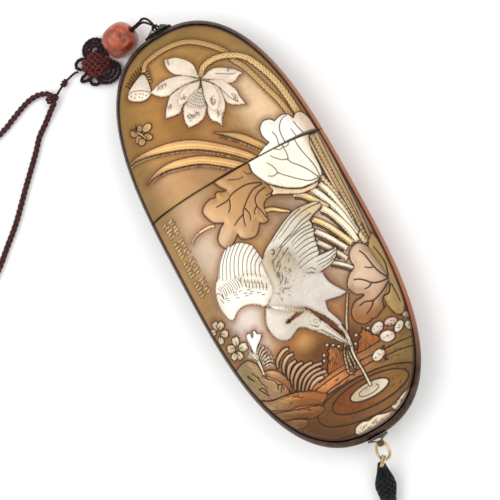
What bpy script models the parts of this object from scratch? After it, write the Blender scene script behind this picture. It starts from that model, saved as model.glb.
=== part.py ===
"""Pocket tobacco case: a flat oval metal case in two halves, with its cord, bead and tassel.

The case lies on its back. The origin is the middle of the flat spot on its back, +Y runs to the
lid's end, +X is to the right as the carved front is seen, and +Z is up through the front.
Lengths below are millimetres, and every mesh is written in metres.
"""

import math

import bmesh
import bpy
from mathutils import Matrix, Vector
from mathutils.geometry import delaunay_2d_cdt

MM = 0.001

# Case
CASE_LENGTH = 140.0
CASE_WIDTH = 60.0
HALF_DEPTH = 12.0
BACK_FLAT = 0.8
LID_LENGTH = 52.2
WALL = 1.0
WIDTH_POWER = 2.4
LENGTH_POWER = 3.1
BULGE_POWER = 0.6

# Where the front plates end, as a share of the plan's level, and the joints
PLATE_LEVEL = 0.89
SHELL_LEVEL = 0.915
CARVING_LEVEL = 0.86
JOINT_GAP = 0.3
RELIEF = 0.5
RELIEF_EDGE = 0.35
GRID_STEP = 5.0

# Sleeve inside the lid
SLEEVE_WALL = 0.7
SLEEVE_IN_LID = 8.0
SLEEVE_IN_BODY = 6.0
SLEEVE_CLEARANCE = 0.45

# Lug, boss and ring
LUG_WIDTH = 9.2
LUG_THICKNESS = 2.6
LUG_HOLE = 0.75
LUG_RIM = 0.55
BOSS_WIDTH = 6.4
BOSS_TIP = 2.0
BOSS_DEPTH = 3.0
BOSS_HEIGHT = 2.9
BOSS_HOLE = 1.05
BOSS_RIM = 0.4
RING_WIRE = 0.4
RING_HALF_LENGTH = 3.3
RING_HALF_WIDTH = 2.1
RING_LIFT = 0.2
RING_LEAN = 14.5
RING_DROP = 33.0

# Bead, cord and strap
BEAD_RADIUS = 5.5
BEAD_HOLE = 1.25
THIN_CORD = 0.45
KNOT_CORD = 0.5
KNOT_LENGTH = 9.0
KNOT_WIDTH = 8.0
KNOT_DEPTH = 4.0
STRAP_RADIUS = 1.0
CORD_GAP = 0.3
WRAP_RADIUS = STRAP_RADIUS + CORD_GAP + KNOT_CORD + 0.05

half_width = CASE_WIDTH / 2
half_length = CASE_LENGTH / 2
mid_height = HALF_DEPTH - BACK_FLAT
seam_y = half_length - LID_LENGTH

# The carving is drawn on a case 60 wide and 140 long, from a point a little off its middle
DRAWN_WIDTH = 60.0
DRAWN_LENGTH = 140.0
DRAWN_SCALE_X = 0.989
DRAWN_SHIFT_X = -0.4
DRAWN_SHIFT_Y = -2.4


def level(x, y, inset=0.0):
    """The plan's level: 1 on the outline, 0 at the middle."""
    across = abs(x / (half_width - inset)) ** WIDTH_POWER
    along = abs(y / (half_length - inset)) ** LENGTH_POWER
    return across + along


def bulge(x, y, inset=0.0):
    """Height of the case's surface above its middle plane."""
    rest = max(0.0, 1.0 - level(x, y, inset))
    return (HALF_DEPTH - inset) * rest ** BULGE_POWER


def normal(x, y, z):
    """Outward normal of the rounded case at a point, z counted from the middle plane."""
    nx = WIDTH_POWER * abs(x / half_width) ** (WIDTH_POWER - 1) / half_width
    ny = LENGTH_POWER * abs(y / half_length) ** (LENGTH_POWER - 1) / half_length
    power = 1 / BULGE_POWER
    nz = power * abs(z / HALF_DEPTH) ** (power - 1) / HALF_DEPTH
    return Vector((math.copysign(nx, x), math.copysign(ny, y), math.copysign(nz, z))).normalized()


def plan_point(angle, plan_level):
    """The point of a level's curve on the ray at an angle, in a unit plan stretched to size."""
    c = abs(math.cos(angle))
    s = abs(math.sin(angle))
    low = 0.0
    high = 1.5
    for _ in range(40):
        middle = (low + high) / 2
        if (middle * c) ** WIDTH_POWER + (middle * s) ** LENGTH_POWER > plan_level:
            high = middle
        else:
            low = middle
    return half_width * low * math.cos(angle), half_length * low * math.sin(angle)


def corner_angle(plan_level, y):
    """The ray's angle where a level's curve meets the line across at y, on the right."""
    unit_y = y / half_length
    unit_x = (plan_level - abs(unit_y) ** LENGTH_POWER) ** (1 / WIDTH_POWER)
    return math.atan2(unit_y, unit_x)


def rim_curve(plan_level, y, on_lid, count):
    """Points along a level's curve from the right end of the cut at y round to the left end."""
    start = corner_angle(plan_level, y)
    end = math.pi - start
    if not on_lid:
        end -= 2 * math.pi
    points = []
    for i in range(count + 1):
        points.append(plan_point(start + (end - start) * i / count, plan_level))
    points[0] = (points[0][0], y)
    points[-1] = (points[-1][0], y)
    return points


def drawn(points):
    """Drawing points placed on this case."""
    sx = DRAWN_SCALE_X * CASE_WIDTH / DRAWN_WIDTH
    sy = CASE_LENGTH / DRAWN_LENGTH
    return [(x * sx + DRAWN_SHIFT_X, (y + DRAWN_SHIFT_Y) * sy) for x, y in points]


def band(line, widths):
    """Outline of a leaf or stem: a middle line and its half-width at each point."""
    left = []
    right = []
    for i, (x, y) in enumerate(line):
        ax, ay = line[max(i - 1, 0)]
        bx, by = line[min(i + 1, len(line) - 1)]
        length = math.hypot(bx - ax, by - ay)
        nx = (ay - by) / length
        ny = (bx - ax) / length
        w = widths[min(i, len(widths) - 1)]
        left.append((x + nx * w, y + ny * w))
        right.append((x - nx * w, y - ny * w))
    return left + right[::-1]


def ellipse(x, y, rx, ry, count=10, turn=0.0):
    """An oval outline."""
    points = []
    c = math.cos(math.radians(turn))
    s = math.sin(math.radians(turn))
    for i in range(count):
        a = 2 * math.pi * i / count
        px = rx * math.cos(a)
        py = ry * math.sin(a)
        points.append((x + px * c - py * s, y + px * s + py * c))
    return points


def flower_figures():
    """The lid's lotus flower: its petals, the seed pod and the stems."""
    petals = [
        [(5.9, 50.4), (6.2, 55.3), (4.1, 58.9), (0.2, 61.5), (-1.2, 61.6), (-1.6, 58.8), (0.1, 55.5)],
        [(5.9, 50.4), (1.8, 54.0), (-2.2, 55.7), (-5.8, 55.8), (-9.6, 54.9), (-7.2, 51.9), (-4.2, 50.8)],
        [(5.6, 49.9), (-3.3, 50.7), (-6.7, 48.6), (-8.8, 45.0), (-6.1, 44.3), (-4.2, 44.4), (-2.6, 45.7)],
        [(5.6, 49.0), (1.0, 50.2), (-2.0, 48.8), (-3.2, 46.4), (1.5, 46.4)],
        [(3.9, 45.6), (4.1, 42.3), (1.6, 39.2), (-0.9, 38.4), (-3.9, 38.8), (-3.9, 42.0), (-1.7, 45.8)],
        [(6.0, 49.6), (9.1, 46.6), (9.7, 42.2), (8.6, 38.6), (5.3, 34.1), (3.1, 37.9), (4.1, 42.5)],
        [(6.3, 50.1), (10.2, 47.8), (13.1, 44.2), (14.0, 39.8), (14.5, 36.7), (11.1, 38.2), (9.8, 41.5)],
        [(6.3, 50.4), (9.9, 51.4), (13.8, 50.0), (17.0, 47.4), (18.0, 46.0), (15.2, 44.7), (11.6, 46.2)],
    ]
    pod = [(-16.9, 57.8), (-15.8, 59.3), (-12.2, 61.1), (-9.6, 61.9), (-8.6, 60.8), (-8.6, 58.1),
           (-9.1, 55.3), (-10.6, 53.9), (-12.8, 53.9), (-15.0, 55.1)]
    pod_stem = [(-7.6, 60.2), (-6.6, 63.2), (-2.0, 64.4), (4.4, 63.6), (9.9, 60.6), (14.7, 55.8),
                (18.8, 48.6), (21.3, 41.1), (23.2, 34.4), (24.4, 29.0)]
    flower_stem = [(6.3, 51.4), (9.1, 53.1), (13.6, 53.5), (18.0, 52.2), (21.6, 49.4), (23.8, 44.4),
                   (25.5, 38.9), (26.3, 31.7), (26.6, 28.4)]
    figures = [(points, RELIEF * (1.0 if i % 2 else 1.3)) for i, points in enumerate(petals)]
    figures.append((pod, RELIEF))
    figures.append((band(pod_stem, [0.7]), 0.7 * RELIEF))
    figures.append((band(flower_stem, [0.8]), RELIEF))
    return figures


def lid_figures():
    """Everything carved on the lid: flower, butterfly, grass blades and the leaf's top."""
    blades = [
        ([(2.3, 33.3), (6.6, 29.8), (9.0, 27.4), (11.2, 24.5), (13.0, 22.1)], [0.15, 0.95, 1.05, 1.0, 0.9]),
        ([(-26.2, 39.0), (-19.4, 38.2), (-14.5, 36.8), (-10.0, 35.1), (-6.0, 33.2), (-2.5, 30.9),
          (1.0, 28.1), (4.3, 25.0), (7.2, 22.2), (8.9, 20.2)], [0.6, 1.0, 1.3, 1.4, 1.5, 1.5, 1.4, 1.3, 1.2]),
        ([(-23.6, 30.8), (-21.0, 31.2), (-18.0, 31.4), (-14.4, 30.9), (-10.8, 29.9), (-7.0, 28.4),
          (-3.0, 26.0), (0.2, 23.5), (3.4, 20.2)], [0.15, 0.8, 1.1, 1.3, 1.4, 1.4, 1.4]),
    ]
    leaf_top = [(9.5, 20.2), (15.2, 22.8), (14.3, 25.8), (15.4, 28.6), (17.4, 29.4), (19.5, 27.9),
                (22.0, 28.8), (24.4, 27.0), (26.6, 27.6), (28.4, 25.0), (28.4, 20.2)]
    wings = [ellipse(-19.8, 46.3, 1.7, 1.2, 8, 140), ellipse(-15.9, 45.9, 1.9, 1.2, 8, 10),
             ellipse(-19.6, 43.4, 1.4, 0.9, 8, 40), ellipse(-16.6, 43.2, 1.4, 0.9, 8, -40)]
    figures = flower_figures()
    figures += [(band(line, widths), RELIEF) for line, widths in blades]
    figures += [(wing, 0.8 * RELIEF) for wing in wings]
    figures.append((leaf_top, RELIEF))
    return figures


def egret_figures():
    """The wading egret: spread wings, body, bent neck, bill and legs."""
    left_wing = [(-3.6, -5.6), (-3.9, -2.6), (-5.6, 0.0), (-8.9, 0.9), (-12.8, 0.6), (-16.1, -2.4),
                 (-18.5, -5.7), (-20.7, -8.2), (-21.7, -12.7), (-21.0, -16.8), (-20.0, -17.9),
                 (-18.1, -16.6), (-15.0, -15.9), (-12.2, -16.8), (-9.0, -19.2), (-4.5, -15.0)]
    right_wing = [(-1.5, -6.0), (3.0, -2.7), (8.3, 0.0), (13.0, 1.1), (18.0, 0.8), (21.0, -1.6),
                  (16.3, -2.6), (14.4, -6.6), (13.7, -9.9), (12.7, -13.5), (17.4, -14.3),
                  (14.1, -17.9), (10.8, -18.4), (4.0, -14.0)]
    body = [(-3.2, -6.4), (1.0, -9.0), (5.0, -14.0), (11.0, -18.6), (11.3, -23.2), (14.3, -27.4),
            (7.5, -26.9), (7.6, -31.8), (7.9, -37.9), (4.5, -30.2), (0.0, -25.0), (-8.6, -19.6),
            (-4.4, -14.8)]
    neck = [(-8.8, -20.0), (-11.5, -24.3), (-11.3, -27.9), (-8.9, -30.9), (-5.8, -30.7), (-3.1, -29.8),
            (-0.6, -31.8), (3.0, -35.9), (7.3, -41.8), (5.6, -35.2), (2.4, -28.8), (-3.0, -23.6)]
    leg = band([(13.4, -27.9), (10.6, -33.0), (8.1, -38.2)], [0.45])
    standing = band([(7.6, -39.0), (7.0, -43.5), (7.2, -48.5), (6.8, -54.0)], [0.6])
    lifted = band([(6.0, -40.6), (4.6, -44.6), (3.8, -48.6)], [0.8, 0.9, 0.4])
    return [(left_wing, RELIEF), (right_wing, RELIEF), (body, 1.3 * RELIEF), (neck, 1.5 * RELIEF),
            (leg, 0.8 * RELIEF), (standing, 0.8 * RELIEF), (lifted, 0.8 * RELIEF)]


def leaf_figures():
    """The body's three big leaves and the bundle of stems."""
    white = [(7.0, 19.9), (6.6, 16.9), (8.3, 13.1), (10.5, 10.3), (14.7, 7.4), (19.1, 6.0), (23.0, 6.5),
             (24.6, 9.6), (25.6, 13.0), (26.2, 19.9)]
    gold = [(6.4, 19.6), (6.2, 16.9), (7.9, 13.1), (10.0, 10.2), (14.5, 6.9), (19.0, 5.5), (21.6, 5.1),
            (17.4, 4.4), (13.8, 5.7), (8.0, 8.2), (4.9, 6.8), (4.2, 3.7), (3.0, 2.0), (1.2, 2.6),
            (-1.4, 0.1), (-4.2, 0.3), (-6.2, 2.7), (-8.6, 1.4), (-11.0, 1.0), (-12.4, 3.7),
            (-11.2, 6.2), (-8.5, 8.1), (-11.2, 9.9), (-12.5, 13.6), (-10.5, 15.9), (-7.0, 16.0),
            (-5.3, 17.2), (-3.2, 16.4), (-5.0, 19.6)]
    right = [(19.4, -21.4), (19.5, -18.4), (21.9, -16.1), (24.4, -16.5), (25.8, -18.2), (28.2, -15.6),
             (28.4, -28.0), (26.9, -35.1), (25.2, -39.8), (23.0, -39.0), (22.5, -34.8), (19.7, -36.8),
             (14.1, -37.9), (12.0, -34.6), (14.7, -30.9), (17.8, -30.2), (15.4, -28.2), (15.2, -24.9),
             (17.2, -22.9)]
    stems = [
        ([(19.3, 4.0), (21.0, 1.0), (22.4, -2.2), (23.6, -7.0)], [0.75]),
        ([(22.6, 4.9), (23.9, 0.5), (24.6, -5.0), (25.0, -15.0)], [0.6]),
        ([(14.6, 4.9), (16.2, 2.6), (18.2, 0.9)], [0.7]),
        ([(15.4, -3.6), (18.8, -7.1), (20.5, -10.2), (21.9, -14.6)], [0.65]),
        ([(14.3, -7.4), (16.1, -9.9), (18.0, -12.7), (19.8, -15.8)], [0.6]),
        ([(14.0, -10.4), (15.8, -12.4), (17.4, -14.9), (19.0, -17.6)], [0.55]),
        ([(19.9, -2.6), (21.6, -5.4), (23.0, -9.0), (23.8, -14.6)], [0.6]),
        ([(26.3, 18.6), (26.4, 10.0), (26.1, 0.0), (26.2, -14.5)], [0.7]),
        ([(14.8, -18.4), (16.9, -20.0), (18.7, -22.0)], [0.45]),
        ([(4.7, 5.0), (6.9, 4.0), (8.9, 2.7), (10.5, 1.3)], [0.5]),
        ([(-19.8, 8.7), (-15.6, 10.0), (-11.6, 9.4)], [0.35]),
    ]
    figures = [(white, 1.2 * RELIEF), (gold, RELIEF), (right, RELIEF)]
    figures += [(band(line, widths), 0.8 * RELIEF) for line, widths in stems]
    return figures


def shore_figures():
    """The shore: rocks, plants, banks, the water's rings, pebbles and roots."""
    rock = [(-25.8, -30.9), (-22.2, -30.3), (-19.4, -32.3), (-19.5, -36.2), (-16.1, -40.7),
            (-15.4, -44.0), (-20.3, -43.8), (-25.2, -41.0), (-26.3, -35.0)]
    side_rock = [(-18.9, -36.4), (-15.0, -37.3), (-13.4, -41.8), (-14.8, -44.6), (-15.5, -40.8)]
    banks = [
        [(-25.4, -41.9), (-21.1, -44.2), (-14.4, -45.5), (-9.3, -47.6), (-5.7, -50.2), (-9.4, -51.4),
         (-15.0, -49.2), (-20.8, -47.5), (-24.6, -45.6)],
        [(-23.8, -47.6), (-18.1, -49.2), (-12.2, -50.8), (-8.5, -52.4), (-9.0, -53.9), (-13.6, -54.0),
         (-17.5, -51.8), (-23.0, -49.4)],
    ]
    mounds = [
        [(-2.0, -45.3), (-0.9, -42.9), (0.8, -39.3), (1.8, -38.2), (3.6, -39.8), (4.7, -42.4), (3.3, -45.0)],
        [(8.3, -43.6), (11.1, -40.1), (12.6, -38.8), (13.8, -40.7), (15.8, -43.6)],
    ]
    pebbles = [(16.9, -40.5, 1.9, 1.4), (20.9, -40.5, 1.6, 1.3), (18.0, -44.0, 2.0, 1.4),
               (22.2, -42.9, 1.6, 1.2), (24.9, -43.4, 1.1, 1.1), (13.1, -47.6, 2.0, 1.5)]
    roots = [
        [(-4.1, -64.3), (-0.8, -62.9), (7.2, -63.5), (9.8, -64.4), (3.6, -65.8), (-3.1, -65.5)],
        [(8.8, -62.2), (13.6, -61.0), (15.6, -61.8), (11.9, -63.9), (10.2, -63.9)],
    ]
    fronds = [
        ([(-14.8, -37.0), (-13.3, -34.8), (-11.5, -33.7), (-9.0, -33.7)], [0.3, 0.5, 0.6, 0.4]),
        ([(-13.8, -39.4), (-12.2, -37.2), (-9.0, -36.0)], [0.3, 0.5, 0.4]),
        ([(-13.6, -41.8), (-11.6, -39.2), (-8.4, -38.0)], [0.3, 0.5, 0.4]),
        ([(-13.6, -44.3), (-11.0, -41.0), (-7.2, -39.6)], [0.3, 0.5, 0.4]),
        ([(-12.6, -45.2), (-9.6, -42.2), (-4.7, -40.9)], [0.3, 0.5, 0.4]),
        ([(-11.4, -46.0), (-8.2, -43.6), (-2.5, -42.6)], [0.3, 0.5, 0.4]),
        ([(-9.8, -46.6), (-6.8, -45.0), (-2.7, -44.4)], [0.3, 0.45, 0.4]),
    ]
    sprout = [(-18.4, -24.0), (-17.2, -25.0), (-15.6, -24.0), (-14.3, -25.9), (-16.1, -27.6),
              (-18.3, -30.1), (-18.9, -27.3)]
    figures = [(rock, RELIEF), (side_rock, RELIEF)]
    figures += [(bank, 0.8 * RELIEF) for bank in banks]
    figures += [(mound, 0.8 * RELIEF) for mound in mounds]
    figures += [(root, RELIEF) for root in roots]
    figures += [(ellipse(x, y, rx, ry, 8), RELIEF) for x, y, rx, ry in pebbles]
    figures += [(band(line, widths), 0.8 * RELIEF) for line, widths in fronds]
    figures.append((sprout, RELIEF))
    for x, y in ((-25.6, -18.6), (-23.2, -25.8)):
        for i in range(5):
            a = math.radians(90 + 72 * i)
            petal = ellipse(x + 1.5 * math.cos(a), y + 1.5 * math.sin(a), 1.0, 0.75, 6, 90 + 72 * i)
            figures.append((petal, 0.8 * RELIEF))
    for rx, ry, shift in ((3.2, 1.1, 0.0), (6.2, 2.0, 0.0), (11.6, 3.6, 0.4), (15.6, 5.4, 1.0)):
        outer = ellipse(6.0 - shift, -55.2 - shift, rx, ry, 20 if rx > 9 else 14, 3)
        figures.append((outer, RELIEF * (0.9 - rx / 26)))
    return figures


def stroke_figures():
    """Four groups of short raised strokes down the left side. They spell nothing."""
    figures = []
    for group in range(4):
        top = 16.4 - 6.2 * group
        for row in range(3):
            y = top - 1.7 * row
            reach = 1.7 - 0.35 * ((row + group) % 3)
            figures.append((band([(-24.0 - reach, y), (-24.0 + reach, y + 0.5)], [0.3]), 0.6 * RELIEF))
    return figures


def clip_figure(points, cut_y, on_lid):
    """A figure kept off the seam and inside the plate's plain rim."""
    margin = JOINT_GAP / 2 + RELIEF_EDGE
    sign = 1 if on_lid else -1
    edge_y = cut_y + sign * margin
    kept = []
    for i, (x, y) in enumerate(points):
        px, py = points[i - 1]
        inside = sign * (y - edge_y) >= 0
        was_inside = sign * (py - edge_y) >= 0
        if inside != was_inside:
            t = (edge_y - py) / (y - py)
            kept.append((px + (x - px) * t, edge_y))
        if inside:
            kept.append((x, y))
    pulled = []
    for x, y in kept:
        if level(x, y) > CARVING_LEVEL:
            angle = math.atan2(y / half_length, x / half_width)
            x, y = plan_point(angle, CARVING_LEVEL)
            y = sign * max(sign * y, sign * edge_y)
        pulled.append((x, y))
    return pulled


def inside_distance(x, y, points):
    """Distance from a point to an outline, above zero inside it."""
    nearest = 1e9
    inside = False
    for i, (bx, by) in enumerate(points):
        ax, ay = points[i - 1]
        dx = bx - ax
        dy = by - ay
        length = dx * dx + dy * dy
        t = 0.0
        if length > 0:
            t = min(1.0, max(0.0, ((x - ax) * dx + (y - ay) * dy) / length))
        nearest = min(nearest, math.hypot(x - ax - t * dx, y - ay - t * dy))
        if (ay > y) != (by > y) and x < ax + (y - ay) * dx / dy:
            inside = not inside
    return nearest if inside else -nearest


def inset_points(points):
    """Points just inside an outline, where the raised figure reaches its full height."""
    turn = sum(points[i - 1][0] * y - x * points[i - 1][1] for i, (x, y) in enumerate(points))
    side = 1 if turn > 0 else -1
    inner = []
    for i, (x, y) in enumerate(points):
        ax, ay = points[i - 1]
        bx, by = points[(i + 1) % len(points)]
        first = Vector((x - ax, y - ay))
        second = Vector((bx - x, by - y))
        if first.length < 0.01 or second.length < 0.01:
            continue
        n1 = Vector((-first.y, first.x)).normalized() * side
        n2 = Vector((-second.y, second.x)).normalized() * side
        mean = n1 + n2
        if mean.length < 0.3:
            continue
        mean.normalize()
        step = RELIEF_EDGE / max(0.5, mean.dot(n1))
        px = x + mean.x * step
        py = y + mean.y * step
        if inside_distance(px, py, points) > 0.8 * RELIEF_EDGE:
            inner.append((px, py))
    return inner


def spread(points, taken, gap):
    """The points that stay at least a gap away from those already taken."""
    kept = []
    for x, y in points:
        if all((x - u) ** 2 + (y - v) ** 2 > gap * gap for u, v in taken + kept):
            kept.append((x, y))
    return kept


def grid_points(cut_y, on_lid, outline):
    """Loose points over a plate, so that its curve is followed between the figures."""
    sign = 1 if on_lid else -1
    points = []
    rows = int(CASE_LENGTH / GRID_STEP)
    columns = int(CASE_WIDTH / GRID_STEP)
    for row in range(-rows, rows + 1):
        for column in range(-columns, columns + 1):
            x = (column + 0.5 * (row % 2)) * GRID_STEP
            y = row * GRID_STEP * 0.87
            if level(x, y) < CARVING_LEVEL and sign * (y - cut_y) > 1.5:
                points.append((x, y))
    return spread(points, outline, 1.6)


def front_plate(name, figures, on_lid, rim_count, seam_count):
    """A curved front plate of even wall, with its figures raised on the outer side."""
    sign = 1 if on_lid else -1
    cut_y = seam_y + sign * JOINT_GAP / 2
    rim = rim_curve(PLATE_LEVEL, cut_y, on_lid, rim_count)
    left = rim[-1][0]
    right = rim[0][0]
    seam = [(left + (right - left) * i / seam_count, cut_y) for i in range(1, seam_count)]
    border = rim + seam
    shapes = []
    for points, lift in figures:
        clipped = clip_figure(drawn(points), cut_y, on_lid)
        clipped = [p for i, p in enumerate(clipped) if math.dist(p, clipped[i - 1]) > 0.25]
        if len(clipped) > 2:
            shapes.append((clipped, lift))
    coords = list(border)
    edges = [(i, (i + 1) % len(border)) for i in range(len(border))]
    for points, _ in shapes:
        first = len(coords)
        coords += points
        edges += [(first + i, first + (i + 1) % len(points)) for i in range(len(points))]
    for points, _ in shapes:
        coords += spread(inset_points(points), coords, 0.2)
    coords += grid_points(cut_y, on_lid, coords)
    flat = [Vector(p) for p in coords]
    top_points, _, top_faces, _, _, _ = delaunay_2d_cdt(flat, edges, [], 0, 0.02)
    boxes = []
    for points, lift in shapes:
        xs = [p[0] for p in points]
        ys = [p[1] for p in points]
        boxes.append((min(xs), max(xs), min(ys), max(ys), points, lift))

    def raised(x, y):
        height = 0.0
        for x0, x1, y0, y1, points, lift in boxes:
            if x0 < x < x1 and y0 < y < y1:
                share = min(1.0, max(0.0, inside_distance(x, y, points) / RELIEF_EDGE))
                height = max(height, lift * share)
        return height

    def inner(x, y, on_seam):
        z = bulge(x, y)
        n = normal(x, y, z)
        if on_seam:
            n.y = 0.0
            n.normalize()
        return Vector((x, y, z + mid_height)) - n * WALL

    mesh = bmesh.new()
    top = []
    for p in top_points:
        height = bulge(p.x, p.y) + raised(p.x, p.y)
        top.append(mesh.verts.new(Vector((p.x, p.y, height + mid_height)) * MM))
    for face in top_faces:
        mesh.faces.new([top[i] for i in face])
    low_coords = border + grid_points(cut_y, on_lid, border)
    low_edges = [(i, (i + 1) % len(border)) for i in range(len(border))]
    low_flat = [Vector(p) for p in low_coords]
    low_points, _, low_faces, _, _, _ = delaunay_2d_cdt(low_flat, low_edges, [], 0, 0.02)
    low = []
    for p in low_points:
        low.append(mesh.verts.new(inner(p.x, p.y, abs(p.y - cut_y) < 0.001) * MM))
    for face in low_faces:
        mesh.faces.new([low[i] for i in reversed(face)])
    count = len(border)
    for i in range(count):
        j = (i + 1) % count
        mesh.faces.new((top[i], low[i], low[j], top[j]))
    bmesh.ops.recalc_face_normals(mesh, faces=mesh.faces)
    return finish_mesh(name, mesh)


def back_shell(name, on_lid, columns):
    """The back and sides of one half, an open surface made solid by its wall."""
    sign = 1 if on_lid else -1
    cut_y = seam_y + sign * JOINT_GAP / 2
    flat_level = 1 - (mid_height / HALF_DEPTH) ** (1 / BULGE_POWER)
    levels = [(SHELL_LEVEL, 1), (0.96, 1), (1.0, 1), (0.96, -1), (0.88, -1), (0.74, -1), (0.55, -1),
              (0.33, -1), (flat_level, -1)]
    mesh = bmesh.new()
    rings = []
    for plan_level, side in levels:
        ring = []
        for x, y in rim_curve(plan_level, cut_y, on_lid, columns):
            z = side * HALF_DEPTH * (1 - plan_level) ** BULGE_POWER
            ring.append(mesh.verts.new(Vector((x, y, mid_height + z)) * MM))
        rings.append(ring)
    for ring, following in zip(rings, rings[1:]):
        for i in range(columns):
            mesh.faces.new((ring[i], ring[i + 1], following[i + 1], following[i]))
    flat = rings[-1]
    for i in range(columns // 2):
        j = columns - i
        if j - i > 2:
            mesh.faces.new((flat[i], flat[i + 1], flat[j - 1], flat[j]))
        else:
            mesh.faces.new((flat[i], flat[i + 1], flat[j]))
    bmesh.ops.recalc_face_normals(mesh, faces=mesh.faces)
    lowest = max(mesh.faces, key=lambda face: -face.calc_center_median().z)
    if lowest.normal.z > 0:
        bmesh.ops.reverse_faces(mesh, faces=mesh.faces)
    shell = finish_mesh(name, mesh)
    solidify = shell.modifiers.new("wall", "SOLIDIFY")
    solidify.thickness = WALL * MM
    solidify.offset = -1.0
    return shell


def sleeve(name):
    """The thin sleeve inside the body's mouth that the lid slides over."""
    inset = WALL + SLEEVE_CLEARANCE
    stations = (seam_y - SLEEVE_IN_BODY, seam_y, seam_y + SLEEVE_IN_LID)
    half_count = 18
    mesh = bmesh.new()
    rings = []
    for y in stations:
        rest = 1 - abs(y / (half_length - inset)) ** LENGTH_POWER
        reach = (half_width - inset) * rest ** (1 / WIDTH_POWER)
        ring = []
        for i in range(2 * half_count):
            a = math.pi * i / half_count
            x = reach * math.cos(a)
            z = bulge(x, y, inset)
            if i > half_count:
                z = -min(z, mid_height - inset)
            if i in (0, half_count):
                z = 0.0
            ring.append(mesh.verts.new(Vector((x, y, mid_height + z)) * MM))
        rings.append(ring)
    for ring, following in zip(rings, rings[1:]):
        for i in range(2 * half_count):
            j = (i + 1) % (2 * half_count)
            mesh.faces.new((ring[i], ring[j], following[j], following[i]))
    bmesh.ops.recalc_face_normals(mesh, faces=mesh.faces)
    tube = finish_mesh(name, mesh)
    solidify = tube.modifiers.new("wall", "SOLIDIFY")
    solidify.thickness = SLEEVE_WALL * MM
    solidify.offset = -1.0
    return tube


def finish_mesh(name, mesh):
    """A Blender object from a finished bmesh, in the model's collection."""
    data = bpy.data.meshes.new(name)
    mesh.to_mesh(data)
    mesh.free()
    thing = bpy.data.objects.new(name, data)
    model.objects.link(thing)
    return thing


def tube_mesh(name, points, radius, radii=None, closed=False, resolution=2):
    """A mesh tube along points, from a curve with a round bevel."""
    curve = bpy.data.curves.new(name, "CURVE")
    curve.dimensions = "3D"
    curve.bevel_depth = radius * MM
    curve.bevel_resolution = resolution
    curve.use_fill_caps = True
    spline = curve.splines.new("POLY")
    spline.points.add(len(points) - 1)
    for i, p in enumerate(points):
        spline.points[i].co = (p[0] * MM, p[1] * MM, p[2] * MM, 1)
        if radii:
            spline.points[i].radius = radii[i]
    spline.use_cyclic_u = closed
    thing = bpy.data.objects.new(name, curve)
    model.objects.link(thing)
    bpy.context.view_layer.update()
    graph = bpy.context.evaluated_depsgraph_get()
    data = bpy.data.meshes.new_from_object(thing.evaluated_get(graph))
    mesh = bmesh.new()
    mesh.from_mesh(data)
    bmesh.ops.remove_doubles(mesh, verts=mesh.verts, dist=0.000001)
    bmesh.ops.recalc_face_normals(mesh, faces=mesh.faces)
    mesh.to_mesh(data)
    mesh.free()
    solid = bpy.data.objects.new(name, data)
    model.objects.link(solid)
    bpy.data.objects.remove(thing)
    bpy.data.curves.remove(curve)
    solid.name = name
    return solid


def smooth_path(points, steps):
    """Points read from a smooth curve through the chosen ones."""
    chosen = [Vector(p) for p in points]
    path = []
    for i in range(len(chosen) - 1):
        p0 = chosen[max(i - 1, 0)]
        p1 = chosen[i]
        p2 = chosen[i + 1]
        p3 = chosen[min(i + 2, len(chosen) - 1)]
        for k in range(steps):
            t = k / steps
            a = 2 * p1 + (p2 - p0) * t
            b = (2 * p0 - 5 * p1 + 4 * p2 - p3) * t * t
            c = (3 * p1 - p0 - 3 * p2 + p3) * t ** 3
            path.append((a + b + c) / 2)
    path.append(chosen[-1])
    return path


def join_shapes(base, others):
    """Others melted into a base by exact booleans, so that one closed body is left."""
    for other in others:
        for owner in list(other.users_collection):
            owner.objects.unlink(other)
        cutters.objects.link(other)
        other.hide_render = True
        other.display_type = "WIRE"
        union = base.modifiers.new("join", "BOOLEAN")
        union.operation = "UNION"
        union.solver = "EXACT"
        union.object = other
    return base


def cut_shape(base, other):
    """A hole cut in a base by another object."""
    for owner in list(other.users_collection):
        owner.objects.unlink(other)
    cutters.objects.link(other)
    other.hide_render = True
    other.display_type = "WIRE"
    cut = base.modifiers.new("cut", "BOOLEAN")
    cut.operation = "DIFFERENCE"
    cut.solver = "EXACT"
    cut.object = other
    return base


def rod(name, centre, direction, radius, length, sides=16):
    """A plain round rod through a point."""
    mesh = bmesh.new()
    turn = Vector(direction).to_track_quat("Z", "Y").to_matrix().to_4x4()
    place = Matrix.Translation(Vector(centre) * MM) @ turn
    bmesh.ops.create_cone(mesh, cap_ends=True, segments=sides, radius1=radius * MM,
                          radius2=radius * MM, depth=length * MM, matrix=place)
    return finish_mesh(name, mesh)


def ball(name, centre, scale, across=16, rows=10, direction=(0, 0, 1)):
    """A round or oval ball."""
    mesh = bmesh.new()
    turn = Vector(direction).to_track_quat("Z", "Y").to_matrix().to_4x4()
    size = Matrix.Diagonal((*[s * MM for s in scale], 1))
    place = Matrix.Translation(Vector(centre) * MM) @ turn @ size
    bmesh.ops.create_uvsphere(mesh, u_segments=across, v_segments=rows, radius=1.0, matrix=place)
    return finish_mesh(name, mesh)


def flat_solid(name, outline, middle_z, thickness):
    """A flat outline given a thickness, level with the case's middle plane."""
    mesh = bmesh.new()
    low = [mesh.verts.new(Vector((x, y, middle_z - thickness / 2)) * MM) for x, y in outline]
    face = mesh.faces.new(low)
    grown = bmesh.ops.extrude_face_region(mesh, geom=[face])
    moved = [item for item in grown["geom"] if isinstance(item, bmesh.types.BMVert)]
    bmesh.ops.translate(mesh, verts=moved, vec=Vector((0, 0, thickness * MM)))
    bmesh.ops.recalc_face_normals(mesh, faces=mesh.faces)
    return finish_mesh(name, mesh)


def outline_y(x):
    """How far along the case's outline reaches at x."""
    return half_length * (1 - abs(x / half_width) ** WIDTH_POWER) ** (1 / LENGTH_POWER)


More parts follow.
